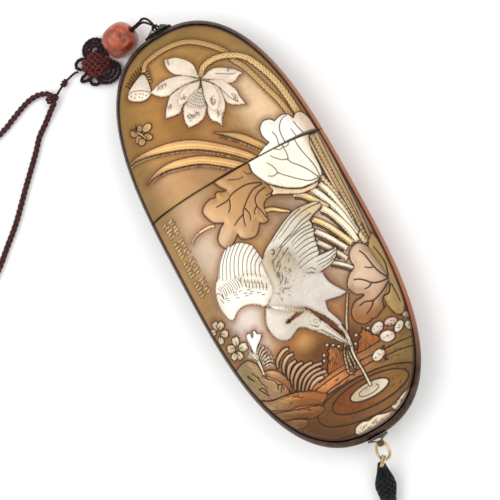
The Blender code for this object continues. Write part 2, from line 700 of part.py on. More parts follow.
def top_lug(name):
    """The small ear at the lid's end, with the hole that the cord is looped through."""
    hole_y = half_length + JOINT_GAP + LUG_RIM + LUG_HOLE
    outer = LUG_HOLE + LUG_RIM
    outline = []
    for i in range(9):
        x = LUG_WIDTH / 2 * (1 - i / 4)
        outline.append((x, outline_y(x) + JOINT_GAP))
    left = LUG_WIDTH / 2
    outline.append((-left, outline_y(left) + JOINT_GAP + 0.3))
    outline.append((-left * 0.62, half_length + JOINT_GAP + 0.6))
    for i in range(9):
        a = math.radians(190 - 25 * i)
        outline.append((outer * math.cos(a), hole_y + outer * math.sin(a)))
    outline.append((left * 0.62, half_length + JOINT_GAP + 0.6))
    outline.append((left, outline_y(left) + JOINT_GAP + 0.3))
    lug = flat_solid(name, outline, mid_height, LUG_THICKNESS)
    hole = rod("lug_hole", (0, hole_y, mid_height), (0, 0, 1), LUG_HOLE, 2 * LUG_THICKNESS)
    return cut_shape(lug, hole), hole_y


def bottom_boss(name):
    """The tapered boss at the body's end that holds the wire ring."""
    base_y = -half_length - JOINT_GAP
    tip_y = base_y - BOSS_HEIGHT
    half = BOSS_WIDTH / 2
    tip = BOSS_TIP / 2
    outline = []
    for i in range(7):
        x = half * (1 - i / 3)
        outline.append((x, -outline_y(x) - JOINT_GAP))
    outline += [(-half, -outline_y(half) - JOINT_GAP - 0.5), (-half * 0.7, base_y - 0.6),
                (-tip, base_y - 1.0), (-tip, tip_y + 0.3), (-tip * 0.6, tip_y), (tip * 0.6, tip_y),
                (tip, tip_y + 0.3), (tip, base_y - 1.0), (half * 0.7, base_y - 0.6),
                (half, -outline_y(half) - JOINT_GAP - 0.5)]
    boss = flat_solid(name, outline, mid_height, BOSS_DEPTH)
    hole_y = tip_y + BOSS_HOLE + BOSS_RIM
    way = ring_frame(hole_y)[2]
    hole = rod("boss_hole", (0, hole_y, mid_height), way, BOSS_HOLE, 2 * BOSS_WIDTH)
    return cut_shape(boss, hole), hole_y


def ring_frame(hole_y):
    """Where the wire ring hangs: its middle, its long way down and its way across."""
    lean = math.radians(RING_LEAN)
    drop = math.radians(RING_DROP)
    down = Vector((-math.sin(lean) * math.cos(drop), -math.cos(lean) * math.cos(drop), -math.sin(drop)))
    across = down.cross(Vector((0, 0, 1))).normalized()
    middle = Vector((0, hole_y, mid_height)) + down * (RING_HALF_LENGTH - RING_LIFT)
    return middle, down, across


def wire_ring(name, hole_y):
    """The brass ring through the boss."""
    middle, down, across = ring_frame(hole_y)
    points = []
    for i in range(20):
        a = 2 * math.pi * i / 20
        points.append(middle + down * RING_HALF_LENGTH * math.cos(a) + across * RING_HALF_WIDTH * math.sin(a))
    return tube_mesh(name, points, RING_WIRE, closed=True)


def tassel(name, hole_y):
    """The silk tassel: a thread loop on the ring, a wound head and a hanging skirt."""
    middle, down, across = ring_frame(hole_y)
    turn = math.radians(22)
    hold = middle + down * RING_HALF_LENGTH * math.cos(turn) + across * RING_HALF_WIDTH * math.sin(turn)
    wire_way = (across * RING_HALF_WIDTH * math.cos(turn) - down * RING_HALF_LENGTH * math.sin(turn)).normalized()
    head = [(0.0, 0.0, 0.0, 0.55), (-0.7, -1.9, -1.0, 1.1), (-1.4, -4.2, -1.9, 2.2), (-2.3, -6.7, -2.5, 2.95),
            (-3.1, -9.1, -3.0, 2.5), (-3.8, -11.1, -3.2, 2.15), (-5.4, -15.6, -3.3, 2.3), (-8.0, -22.6, -3.4, 2.4),
            (-10.6, -30.4, -3.4, 2.5), (-13.0, -38.4, -3.4, 2.6)]
    top = hold + Vector((-0.6, -1.5, -1.4))
    lowest = min(top.z + z - r for _, _, z, r in head)
    drop = lowest - CORD_GAP
    path = []
    for x, y, z, _ in head:
        share = min(1.0, -y / 6.7)
        path.append(Vector((top.x + x, top.y + y, top.z + z - drop * share)))
    skirt = tube_mesh(name, path, 1.0, radii=[r for _, _, _, r in head], resolution=3)
    reach = path[0] - hold
    long_way = reach.normalized()
    wide_way = wire_way.cross(long_way).normalized()
    half_long = reach.length / 2 + 1.3
    centre = hold + long_way * (half_long - 1.35)
    loop = []
    for i in range(12):
        a = 2 * math.pi * i / 12
        loop.append(centre + long_way * half_long * math.cos(a) + wide_way * 1.35 * math.sin(a))
    thread = tube_mesh("tassel_thread", loop, 0.3, closed=True, resolution=1)
    return join_shapes(skirt, [thread])


def bead(name, centre, direction):
    """The round bead, bored through for the cord."""
    stone = ball(name, centre, (BEAD_RADIUS, BEAD_RADIUS, BEAD_RADIUS), 16, 10, direction)
    hole = rod("bead_hole", centre, direction, BEAD_HOLE, 3 * BEAD_RADIUS, 10)
    return cut_shape(stone, hole)


def hanger_cord(name, lug_y, bead_middle, knot):
    """The thin cord: looped through the lug, laid back on itself and led through the bead."""
    over = mid_height + LUG_THICKNESS / 2 + THIN_CORD + CORD_GAP
    under = mid_height - LUG_THICKNESS / 2 - THIN_CORD - CORD_GAP
    way = (join_point - bead_middle).normalized()
    beside = Vector((0.35, 0.3, 0.95)) * (2 * THIN_CORD + 0.1)
    route = [join_point + beside + way * -0.6, join_point + beside, (-2.4, lug_y + 5.0, 11.4),
             (-0.9, lug_y + 3.4, over + 0.3), (-0.1, lug_y + 1.5, over + 0.3),
             (0.0, lug_y, mid_height + 1.0), (0.0, lug_y, mid_height - 1.0), (-0.3, lug_y + 1.7, under - 0.2),
             (-1.5, lug_y + 3.4, under - 0.4), (-2.8, lug_y + 4.8, under - 0.6), join_point,
             bead_middle + way * (BEAD_RADIUS + 0.8), bead_middle, bead_middle - way * (BEAD_RADIUS + 0.6),
             Vector(knot) + Vector((KNOT_LENGTH / 2 + CORD_GAP, 0.3, 0.2))]
    return tube_mesh(name, smooth_path(route, 3), THIN_CORD, resolution=1)


def decorative_knot(name, knot):
    """The flat ornamental knot: a woven middle with loops standing out of it."""
    middle = Vector(knot)
    pad = ball(name, knot, (KNOT_LENGTH / 2, KNOT_WIDTH / 2, KNOT_DEPTH / 2), 14, 8)
    loops = [(1.9, 5.0, 3.5, 3.3, 1.75), (2.0, -4.2, 3.9, 3.0, 1.6), (-4.9, 3.2, 1.8, 1.5, 1.4),
             (-4.6, -1.7, 2.7, 1.0, 1.3), (-2.9, -3.9, 1.9, 1.6, 1.2)]
    pieces = []
    for i, (dx, dy, rx, ry, z) in enumerate(loops):
        turn = 7.0 * i
        sides = [(middle.x + px, middle.y + py, z) for px, py in ellipse(dx, dy, rx, ry, 14, turn)]
        pieces.append(tube_mesh("knot_loop_%d" % i, sides, KNOT_CORD, closed=True, resolution=1))
    return join_shapes(pad, pieces)


def small_knot(name, knot, wrap):
    """The thin tail on from the knot, tied once and looped round the strap."""
    end = Vector(wrap)
    middle = Vector(knot)
    start = middle + Vector((-KNOT_LENGTH / 2 - 1.9, 1.2, -0.9))
    tie = middle + Vector((-12.0, 0.2, -0.6))
    tail = [start, start + Vector((-1.6, 0.3, -0.2)), tie, end + Vector((WRAP_RADIUS, 0.2, 0.1))]
    base = tube_mesh(name, smooth_path(tail, 3), THIN_CORD, resolution=1)
    knob = ball("small_knot_knob", tie, (1.0, 1.0, 1.7), 8, 6, (0.92, 0.4, 0))
    ring = []
    for i in range(12):
        a = 2 * math.pi * (i + 0.4) / 12
        ring.append(end + Vector((WRAP_RADIUS * math.cos(a), 0.0, WRAP_RADIUS * math.sin(a))))
    wrapped = tube_mesh("small_knot_wrap", ring, KNOT_CORD, closed=True, resolution=1)
    return join_shapes(base, [knob, wrapped])


def strap_points(wrap):
    """The strap's route, chosen by hand: out of the wrap, round its loop and back."""
    x, y, z = wrap
    low = STRAP_RADIUS + 0.2
    return [(x, y + 0.15, z), (x - 0.1, y + 1.6, z - 0.3), (-41.8, 74.7, low + 0.5), (-44.3, 75.7, low),
            (-47.4, 75.6, low), (-50.8, 74.6, low), (-54.6, 73.1, low), (-57.9, 71.7, low),
            (-61.4, 70.7, low), (-67.0, 69.6, low), (-74.0, 68.0, low), (-82.0, 64.6, low),
            (-89.5, 59.0, low), (-95.2, 51.6, low), (-97.6, 43.0, low), (-96.2, 34.6, low),
            (-91.4, 29.6, low), (-85.8, 29.6, low), (-80.5, 33.1, low), (-75.1, 37.8, low),
            (-69.6, 42.6, low), (-64.8, 47.6, low), (-60.6, 52.1, low), (-56.0, 56.8, low),
            (-52.6, 60.4, low), (-49.8, 63.6, low), (-46.2, 66.3, low), (-42.9, 68.8, low + 0.5),
            (x - 0.2, y - 1.5, z - 0.2), (x, y - 0.15, z)]


def paint(thing, colour, roughness, metallic):
    """A plain material of the piece's own."""
    material = bpy.data.materials.new(thing.name + "_finish")
    material.use_nodes = True
    shader = material.node_tree.nodes["Principled BSDF"]
    shader.inputs["Base Color"].default_value = (*colour, 1)
    shader.inputs["Roughness"].default_value = roughness
    shader.inputs["Metallic"].default_value = metallic
    thing.data.materials.clear()
    thing.data.materials.append(material)


for old in list(bpy.data.objects):
    bpy.data.objects.remove(old)
model = bpy.data.collections.new("tobacco_case")
cutters = bpy.data.collections.new("cutters")
bpy.context.scene.collection.children.link(model)
bpy.context.scene.collection.children.link(cutters)

BRASS = (0.42, 0.30, 0.13)
COPPER = (0.36, 0.17, 0.09)
DARK_METAL = (0.10, 0.10, 0.09)
CORD = (0.06, 0.02, 0.02)
SILK = (0.01, 0.01, 0.012)
STONE = (0.42, 0.10, 0.05)

body_figures = leaf_figures() + egret_figures() + shore_figures() + stroke_figures()
paint(front_plate("lid_front_plate", lid_figures(), True, 26, 10), BRASS, 0.4, 1.0)
paint(front_plate("body_front_plate", body_figures, False, 34, 10), BRASS, 0.4, 1.0)
paint(back_shell("lid_back_shell", True, 20), COPPER, 0.4, 1.0)
paint(back_shell("body_back_shell", False, 26), COPPER, 0.4, 1.0)
paint(sleeve("inner_sleeve"), BRASS, 0.4, 1.0)

lug, lug_y = top_lug("top_lug")
paint(lug, DARK_METAL, 0.45, 1.0)
boss, boss_y = bottom_boss("bottom_boss")
paint(boss, DARK_METAL, 0.35, 1.0)
paint(wire_ring("wire_ring", boss_y), BRASS, 0.25, 1.0)
paint(tassel("tassel", boss_y), SILK, 0.7, 0.0)

bead_middle = Vector((-12.1, half_length + 6.2, BEAD_RADIUS + 0.1))
join_point = Vector((-4.4, half_length + 6.9, 7.9))
paint(bead("bead", bead_middle, join_point - bead_middle), STONE, 0.5, 0.0)
knot_middle = (-22.8, half_length + 4.3, KNOT_DEPTH / 2 + 0.3)
wrap_middle = (-40.4, 71.9, WRAP_RADIUS + KNOT_CORD + 0.1)
paint(hanger_cord("hanger_cord", lug_y, bead_middle, knot_middle), CORD, 0.8, 0.0)
paint(decorative_knot("decorative_knot", knot_middle), CORD, 0.8, 0.0)
paint(small_knot("small_knot", knot_middle, wrap_middle), CORD, 0.8, 0.0)
strap_path = smooth_path(strap_points(wrap_middle), 2)
paint(tube_mesh("strap_cord", strap_path, STRAP_RADIUS, resolution=2), CORD, 0.8, 0.0)
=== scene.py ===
"""The tobacco case lying on its back: chased and inlaid front, copper back, cord, bead and tassel."""

import random

import bmesh
import bpy
import numpy as np
from math import asin, atan2, cos, hypot, pi, radians, sin, sqrt
from mathutils import Matrix, Vector
from mathutils.geometry import delaunay_2d_cdt


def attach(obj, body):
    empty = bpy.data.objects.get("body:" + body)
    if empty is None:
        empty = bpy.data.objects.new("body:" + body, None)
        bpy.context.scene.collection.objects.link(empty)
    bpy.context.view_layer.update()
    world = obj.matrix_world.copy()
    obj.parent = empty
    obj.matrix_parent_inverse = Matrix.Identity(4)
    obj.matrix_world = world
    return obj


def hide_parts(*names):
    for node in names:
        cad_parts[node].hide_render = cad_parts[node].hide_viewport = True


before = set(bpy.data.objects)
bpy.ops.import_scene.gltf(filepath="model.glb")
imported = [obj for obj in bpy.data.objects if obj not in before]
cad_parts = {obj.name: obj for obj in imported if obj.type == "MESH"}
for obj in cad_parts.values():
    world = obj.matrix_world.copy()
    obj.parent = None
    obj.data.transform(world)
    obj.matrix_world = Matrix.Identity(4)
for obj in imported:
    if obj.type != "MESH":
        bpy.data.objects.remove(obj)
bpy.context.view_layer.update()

MM = 0.001

# The case's form, in millimetres, as the frame has it. Only the two levels are drawn a little further out,
# as the picture shows them: the frame has 0.89 and 0.915
CASE_LENGTH = 140.0
CASE_WIDTH = 60.0
HALF_DEPTH = 12.0
MID_HEIGHT = 11.2
SEAM_Y = 17.8
WALL = 1.0
WIDTH_POWER = 2.4
LENGTH_POWER = 3.1
BULGE_POWER = 0.6
PLATE_LEVEL = 0.905
SHELL_LEVEL = 0.928
JOINT_GAP = 0.3
FITTING_GAP = 0.12
HALF_WIDTH = CASE_WIDTH / 2
HALF_LENGTH = CASE_LENGTH / 2

# The picture is drawn from a point a little off the case's middle
DRAWN_SCALE_X = 0.989
DRAWN_SHIFT_X = -0.4
DRAWN_SHIFT_Y = -2.4

# How the picture is worked, in millimetres: how wide a figure's side is, how much its middle swells, half
# the width of the dark along an outline, the depth of the cut there, and half the width of a drawn line
EDGE = 0.32
SWELL = 0.16
INK = 0.14
GROOVE = 0.13
LINE = 0.14
# further than anything reaches, and then how far the veil of grime and painted shade beside a figure, a line
# and a figure's rise do
FAR = 9.0
DIRT_AND_SHADE_REACH = 2.6
LINE_REACH = 0.7
RELIEF_REACH = 2.2
# the plate's rim: how wide it stays plain, its rounded lip, and how far in and down its edge is cut
PLAIN_RIM = 0.9
LIP_WIDTH = 0.35
LIP_DROP = 0.14
RIM_INSET = 0.55
RIM_DEPTH = 0.85
# raised figures were measured on the plate's own surface, and the view shows raised work a little higher up
LEAN = 0.5
# engraved lines are drawn this much wider to each side than they are cut, so that they show
SHOW = 0.05

# Cord and strap
THIN_CORD = 0.45
STRAP_RADIUS = 1.0
CORD_GAP = 0.3
KNOT_CORD = 0.5
WRAP_RADIUS = STRAP_RADIUS + CORD_GAP + KNOT_CORD + 0.05

# The photograph's size in pixels, and its camera in millimetres, pixels and degrees
PICTURE = 500
LENS_DISTANCE = 500.0
FOCAL_PIXELS = 1667.7
CASE_MIDDLE_PIXEL = (264.8, 229.4)
LEAN_SIDEWAYS = 5.71
LEAN_DOWN = 10.83
ROLL = 28.49


def linear(hex_colour):
    """An sRGB hex colour as linear red, green, blue and alpha."""
    channels = [int(hex_colour[i:i + 2], 16) / 255 for i in (1, 3, 5)]
    return (*[c / 12.92 if c <= 0.04045 else ((c + 0.055) / 1.055) ** 2.4 for c in channels], 1.0)


def level(x, y):
    """The plan's level at points: 1 on the outline, 0 in the middle."""
    return np.abs(x / HALF_WIDTH) ** WIDTH_POWER + np.abs(y / HALF_LENGTH) ** LENGTH_POWER


def bulge(x, y):
    """Height of the case's skin above its middle plane at points."""
    return HALF_DEPTH * np.clip(1 - level(x, y), 0, 1) ** BULGE_POWER


def plan_points(angle, plan_level):
    """Points of a level's curve on rays at given angles."""
    c = np.abs(np.cos(angle))
    s = np.abs(np.sin(angle))
    low = np.zeros_like(angle)
    high = np.full_like(angle, 1.5)
    for _ in range(40):
        middle = (low + high) / 2
        over = (middle * c) ** WIDTH_POWER + (middle * s) ** LENGTH_POWER > plan_level
        high = np.where(over, middle, high)
        low = np.where(over, low, middle)
    return HALF_WIDTH * low * np.cos(angle), HALF_LENGTH * low * np.sin(angle)


def reach_at(y, plan_level):
    """Half the width of a level's curve at y."""
    return HALF_WIDTH * (plan_level - np.abs(y / HALF_LENGTH) ** LENGTH_POWER) ** (1 / WIDTH_POWER)


def smooth_step(t):
    """0 below 0, 1 above 1, and a soft S between."""
    t = np.clip(t, 0, 1)
    return t * t * (3 - 2 * t)


def unit(vectors):
    """The same directions, each one long."""
    return vectors / np.maximum(np.linalg.norm(vectors, axis=1), 1e-9)[:, None]


def ring_pairs(count, first=0):
    """Each place of a closed ring with the next one."""
    return [(first + i, first + (i + 1) % count) for i in range(count)]


def spaced(line, count=None, step=None):
    """Evenly spaced points along a line: a given number of them, or about a step apart."""
    along = np.concatenate([[0], np.cumsum(np.linalg.norm(np.diff(line, axis=0), axis=1))])
    if count is None:
        count = max(4, int(round(along[-1] / step)) + 1)
    places = np.linspace(0, along[-1], count)
    return np.stack([np.interp(places, along, column) for column in line.T], 1)


# Lines and outlines of the drawing


def curve_through(points, closed=False, step=0.4, corner=62):
    """A smooth line through points, given in pairs or as x and y in turn. It keeps a corner where they turn
    sharply."""
    p = np.reshape(points, (-1, 2)).astype(float)
    count = len(p)
    before = np.roll(p, 1, axis=0)
    after = np.roll(p, -1, axis=0)
    a = p - before
    b = after - p
    turn = np.abs(np.degrees(np.arctan2(a[:, 0] * b[:, 1] - a[:, 1] * b[:, 0], (a * b).sum(1))))
    sharp = turn > corner
    if not closed:
        sharp[0] = sharp[-1] = True
    tangent = unit(after - before)
    line = []
    for i in range(count if closed else count - 1):
        j = (i + 1) % count
        chord = p[j] - p[i]
        length = hypot(*chord)
        if length < 1e-6:
            continue
        start = chord if sharp[i] else tangent[i] * length
        end = chord if sharp[j] else tangent[j] * length
        pieces = max(2, int(length / step))
        t = (np.arange(pieces) / pieces)[:, None]
        line.append((2 * t ** 3 - 3 * t ** 2 + 1) * p[i] + (t ** 3 - 2 * t ** 2 + t) * start
                    + (3 * t ** 2 - 2 * t ** 3) * p[j] + (t ** 3 - t ** 2) * end)
    if not closed:
        line.append(p[-1:])
    return np.concatenate(line)


def side_line(line, offset):
    """A line beside another, to its left where the offset is above zero."""
    p = np.array(line, float)
    along = unit(np.gradient(p, axis=0))
    return p + np.stack([-along[:, 1], along[:, 0]], 1) * np.reshape(offset, (-1, 1))


def strip(middle, width):
    """The outline of a strip that runs along a line, from its half-width."""
    return np.concatenate([side_line(middle, width), side_line(middle, -width)[::-1]])


def band(points, widths, step=0.5):
    """The outline of a blade or stem, from its middle line and its half-widths."""
    middle = curve_through(points, step=step)
    share = np.linspace(0, 1, len(middle))
    width = np.interp(share, np.linspace(0, 1, len(widths)), widths)
    return strip(middle, width), middle, width


def turned(points, degrees):
    """Points turned about the drawing's origin."""
    c = cos(radians(degrees))
    s = sin(radians(degrees))
    return np.stack([points[:, 0] * c - points[:, 1] * s, points[:, 0] * s + points[:, 1] * c], 1)


def oval(x, y, rx, ry, turn=0.0, count=36):
    """An oval outline."""
    a = np.linspace(0, 2 * pi, count, endpoint=False)
    return turned(np.stack([rx * np.cos(a), ry * np.sin(a)], 1), turn) + (x, y)


def stroke(points, start=LINE, end=None, step=0.4):
    """An engraved line, as the smooth line and its half-widths at its two ends."""
    return curve_through(points, step=step), start, start if end is None else end


def strokes(rows, start, end=None):
    """Engraved lines with the same half-widths."""
    return [stroke(points, start, end) for points in rows]


def cuts(rows):
    """Engraved lines that each have their own half-widths."""
    return [stroke(points, start, end) for start, end, points in rows]


def dot(x, y, radius):
    """A punched dot."""
    return np.array([(x - 0.01, y), (x + 0.01, y)]), radius, radius


def figure(outline, metal, height=0.5, fade=None, lines=(), edge=EDGE, swell=SWELL, ink=INK, groove=GROOVE,
           shine=0.0, painted=True, halo=1.0):
    """One piece of the picture: a closed outline, its metal, how high it stands, and its engraved lines.
    An outline in a list is drawn smoothly through its points, and one in an array stays as it is.
    Metal is one colour, or two with fade, the two places between which one turns to the other."""
    if isinstance(outline, list):
        outline = curve_through(outline, closed=True)
    lean = np.array([0.0, -LEAN * height])
    colours = [np.array(linear(c)[:3]) for c in ([metal] if isinstance(metal, str) else metal)]
    return {"outline": outline + lean, "colours": colours, "height": height, "fade": fade,
            "lines": [(line + lean, start, end) for line, start, end in lines], "edge": edge, "swell": swell,
            "ink": ink, "groove": groove, "shine": shine, "painted": painted, "halo": halo}


def ribbon(points, widths, metal, height, step=0.5, **look):
    """A piece of the picture that is a blade or stem."""
    return figure(band(points, widths, step)[0], metal, height, **look)


SILVER = "#f4efe4"
SILVER_GREY = "#cfc3b0"
PETAL = "#e6d4be"
PLUMAGE = "#cbc1b6"
GILT = "#cba062"
GILT_DULL = "#ad8d60"
GILT_DEEP = "#d4a86e"
GILT_PALE = "#e6c88c"
CREAM = "#e9dcc2"
ROSE = "#cdb2a0"


def blade(points, widths, fade):
    """A long leaf with a rib beside its middle and a thin strip that runs below it."""
    outline, middle, width = band(points, widths)
    rib_line = (side_line(middle, width * -0.4)[2:-1], -0.03, 0.05)
    below = strip(side_line(middle, -width - 0.62)[3:], 0.26)
    return [figure(below, "#d8be92", 0.3, edge=0.2, swell=0.0, ink=0.03, shine=0.4, halo=0.6),
            figure(outline, [GILT_DULL, GILT_DEEP], 0.45, fade=fade, lines=[rib_line], shine=0.35,
                   ink=0.08)]


def dotted_stem(points, width, metal="#cfa76e", height=0.4, pitch=0.6):
    """A stem with its bristles as three rows of punched dots, and a knobbly edge."""
    _, middle, _ = band(points, [width], step=pitch)
    knobs = width * (1 + 0.13 * (-1.0) ** np.arange(len(middle)))
    dots = []
    for share, first in ((0.5, 0), (-0.05, 1), (-0.55, 0)):
        dots += [dot(x, y, 0.12) for x, y in side_line(middle, share * width)[first::2]]
    return figure(strip(middle, knobs), metal, height, lines=dots, shine=0.35, ink=0.1, halo=0.7)


def flecks(seed, x, y, reach_x, reach_y, count, length, angle, width=-0.01):
    """A patch of short chisel strokes, which greys the piece that it lies on."""
    rng = random.Random(seed)
    marks = []
    for _ in range(count):
        a = radians(angle + rng.uniform(-22, 22))
        cx = x + reach_x * rng.uniform(-1, 1)
        cy = y + reach_y * rng.uniform(-1, 1)
        half = length * rng.uniform(0.3, 0.5)
        way = np.array([half * cos(a), half * sin(a)])
        marks.append((np.array([(cx, cy) - way, (cx, cy) + way]), width, 0.4 * width))
    return marks


def lotus_figures():
    """The open lotus: back petals first, then the front ones, the stamens and the small marks."""
    centre = np.array([5.8, 50.2])
    petals = [
        (0.42, (0, 59), (-0.5, 60.4, 0.4, 0.9, 16, 1.1, 66), [5.9, 50.4, 6.1, 55.3, 5.2, 57.5, 2.2, 60.7,
         -1.2, 61.9, -1.6, 60.4, -1.6, 58.8, -1, 57, 0.1, 55.5, 4, 52.3]),
        (0.46, (-6, 54), (-5.4, 54.4, 1.6, 0.7, 26, 1.3, 60), [5.9, 50.4, 1.8, 54.1, -2.2, 55.7,
         -5.8, 55.8, -9.7, 54.9, -8.6, 53.3, -7.2, 51.9, -5.6, 51, -4.2, 50.8, -2, 51.2, 1, 51.2]),
        (0.42, (-2, 40), (-0.9, 41.0, 1.7, 1.2, 40, 1.5, 128), [3.8, 45, 4.1, 42.3, 3, 40.7, 1.6, 39.2,
         -0.3, 38.5, -2.5, 38.4, -3.9, 38.8, -4.1, 40.2, -3.9, 42, -3.2, 43.8, -1.8, 45.7, 2.5, 46.3]),
        (0.44, (15, 47), (15.0, 48.6, 0.9, 0.4, 12, 0.9, -50), [6.2, 50.3, 7.7, 50.9, 9.9, 51.4,
         11.9, 51.1, 15.8, 48.6, 18.1, 46, 16.4, 45.5, 15.2, 44.7, 13.8, 44.6, 12.7, 45, 10.2, 47.6,
         8.6, 48.6]),
        (0.5, (12.5, 40), (12.6, 39.9, 0.5, 1.3, 24, 1.2, 70), [6.2, 50.1, 8.6, 48.6, 10.2, 47.8,
         11.9, 46.5, 14, 41.9, 14, 39.8, 14.5, 36.6, 11.1, 38.2, 9.9, 39.5, 9.6, 41.5, 9.8, 44.2,
         9.1, 46.6, 7.7, 48.4]),
        (0.48, (-6, 47), (-6.2, 47.4, 0.9, 0.8, 20, 1.0, 60), [5.8, 50, 1, 51.1, -3.3, 50.8, -5, 50.2,
         -8.1, 46.7, -8.9, 44.9, -6.1, 44.3, -4.2, 44.3, -2.8, 45.5, -1, 46.2, 2.2, 46.3, 5, 48.6]),
        (0.52, (6.3, 39), (6.4, 37.9, 1.0, 0.8, 22, 1.0, 60), [6, 50, 9.1, 46.6, 9.8, 44.2, 9.4, 40.3,
         8.6, 38.6, 6.2, 36, 5.3, 34, 4.5, 35.7, 3.6, 36.6, 3.1, 37.9, 3.3, 39.8, 4.1, 41.9, 4.2, 43.8,
         4.7, 45.8, 5.5, 47.9]),
        (0.62, (-1.5, 48), (-1.2, 47.9, 1.0, 0.7, 20, 1.0, 60), [5.8, 50.1, 3, 50.4, 0.5, 50.3,
         -1.6, 49.3, -3, 47.8, -3.4, 46.3, -1.6, 46.1, 1.5, 46.3, 4, 47.8]),
        (0.66, (6.5, 42), (6.3, 42.3, 0.7, 1.3, 30, 1.2, 50), [6, 50, 8.3, 47.5, 8.7, 43, 7.9, 41,
         6.2, 39.3, 5.2, 39.6, 4.5, 41.8, 4.3, 44.5, 5.2, 47.5]),
    ]
    figures = []
    for i, (height, tip, patch, points) in enumerate(petals):
        pale = 0.6 * centre + 0.4 * np.array(tip)
        figures.append(figure(points, [SILVER_GREY, PETAL], height, fade=(centre, pale),
            lines=flecks(i + 1, *patch), swell=0.22, shine=1.0, ink=0.05))
    figures[4]["lines"].append(stroke([9.9, 45, 10.8, 41.9, 11.6, 39.7, 13, 37.8], 0.09))
    figures[3]["lines"].append(stroke([16.1, 46.5, 14.7, 46.9, 12.7, 48.1, 10.8, 49.3], 0.1))
    seeds = []
    for i in range(5):
        for angle in range(190 + 3 * i, 262, 15 - 2 * i):
            way = np.array([cos(radians(angle)), sin(radians(angle))])
            spot = (5.0, 47.5) + (1.5 + 0.95 * i) * way
            seeds.append((np.array([spot, spot + 0.3 * way]), 0.12, 0.06))
    figures.append(figure([5.2, 48, 2.4, 47.6, 0, 46.6, -1.2, 45.6, -0.6, 44.4, 2, 42.4, 3.6, 42, 4.2, 43.6,
        4.8, 46], "#c2b5a2", 0.62, lines=seeds, ink=0.07, shine=1.0))
    return figures


def pod_figures():
    """The seed pod with its fringe and the face that holds the seeds."""
    pod = [-16.9, 57.8, -15.8, 59.3, -12.2, 61.1, -9.6, 61.9, -8.6, 60.8, -9.1, 55.3, -10.6, 53.9,
        -12.8, 53.9, -15, 55.1, -16.4, 56.4]
    seeds = [(-15.6, 57.4), (-13.9, 57.1), (-12.6, 56.4), (-14.7, 56.3),
             (-13.3, 55.7), (-11.8, 55.6), (-12.6, 54.9), (-11.1, 54.8)]
    lines = [stroke([-16.5, 58.4, -15.1, 58.6, -13.2, 57.9, -11.2, 56.6, -9.4, 54.9], 0.1)]
    lines += [dot(x, y, 0.2) for x, y in seeds]
    figures = []
    for i in range(8):
        share = i / 7
        root = np.array([-14.9 + 5.7 * share, 59.9 + 2.2 * share])
        way = np.array([-1.0 + 1.2 * share, 1.9 + 0.9 * sin(2.6 * share)])
        figures.append(ribbon([root, root + (0.3, 0.5) * way, root + way], [0.22, 0.2, 0.08], "#4a3418", 0.35,
            swell=0.02, edge=0.2, halo=0.25, ink=0.0, step=0.8))
    for i in range(5):
        curl = oval(-7.7 - 0.14 * i, 62.2 - 0.95 * i, 1.0, 0.4, 8 - 14 * i, 16)
        figures.append(figure(curl, "#cfa468", 0.35, ink=0.1, shine=0.3, halo=0.6))
    figures.append(figure(pod, [SILVER_GREY, PETAL], 0.55, fade=((-9, 61), (-14, 56)), lines=lines, swell=0.3,
                          shine=1.0))
    return figures


def butterfly_figures():
    """The small butterfly: round lobed wings with eyes, a body and feelers."""
    figures = []
    wings = [(-19.8, 46.6, 1.5, 1.1, 142), (-17.7, 46.9, 0.9, 0.9, 0), (-15.6, 45.8, 1.5, 1.1, 8),
             (-19.7, 44.2, 1.1, 1.0, 38), (-19.0, 42.9, 1.1, 0.9, 0), (-16.6, 43.2, 1.4, 0.9, -42)]
    for x, y, rx, ry, turn in wings:
        eye = (oval(x, y, 0.4 * rx, 0.4 * ry, turn, 10), 0.04, 0.04)
        figures.append(figure(oval(x, y, 1.14 * rx, 1.14 * ry, turn), "#c4a26c", 0.32, lines=[eye],
                              shine=0.4, halo=0.8))
    figures.append(ribbon([-19.3, 47, -18.1, 45, -17.4, 42.6], [0.2, 0.4, 0.15], GILT_PALE, 0.5, ink=0.12,
        shine=0.3))
    for end in ((-20.6, 48.4), (-18.6, 48.6)):
        figures.append(ribbon([(-19.1, 46.9), end], [0.12], GILT, 0.3, edge=0.12, swell=0.0, ink=0.1,
            halo=0.5, step=1.0))
    return figures


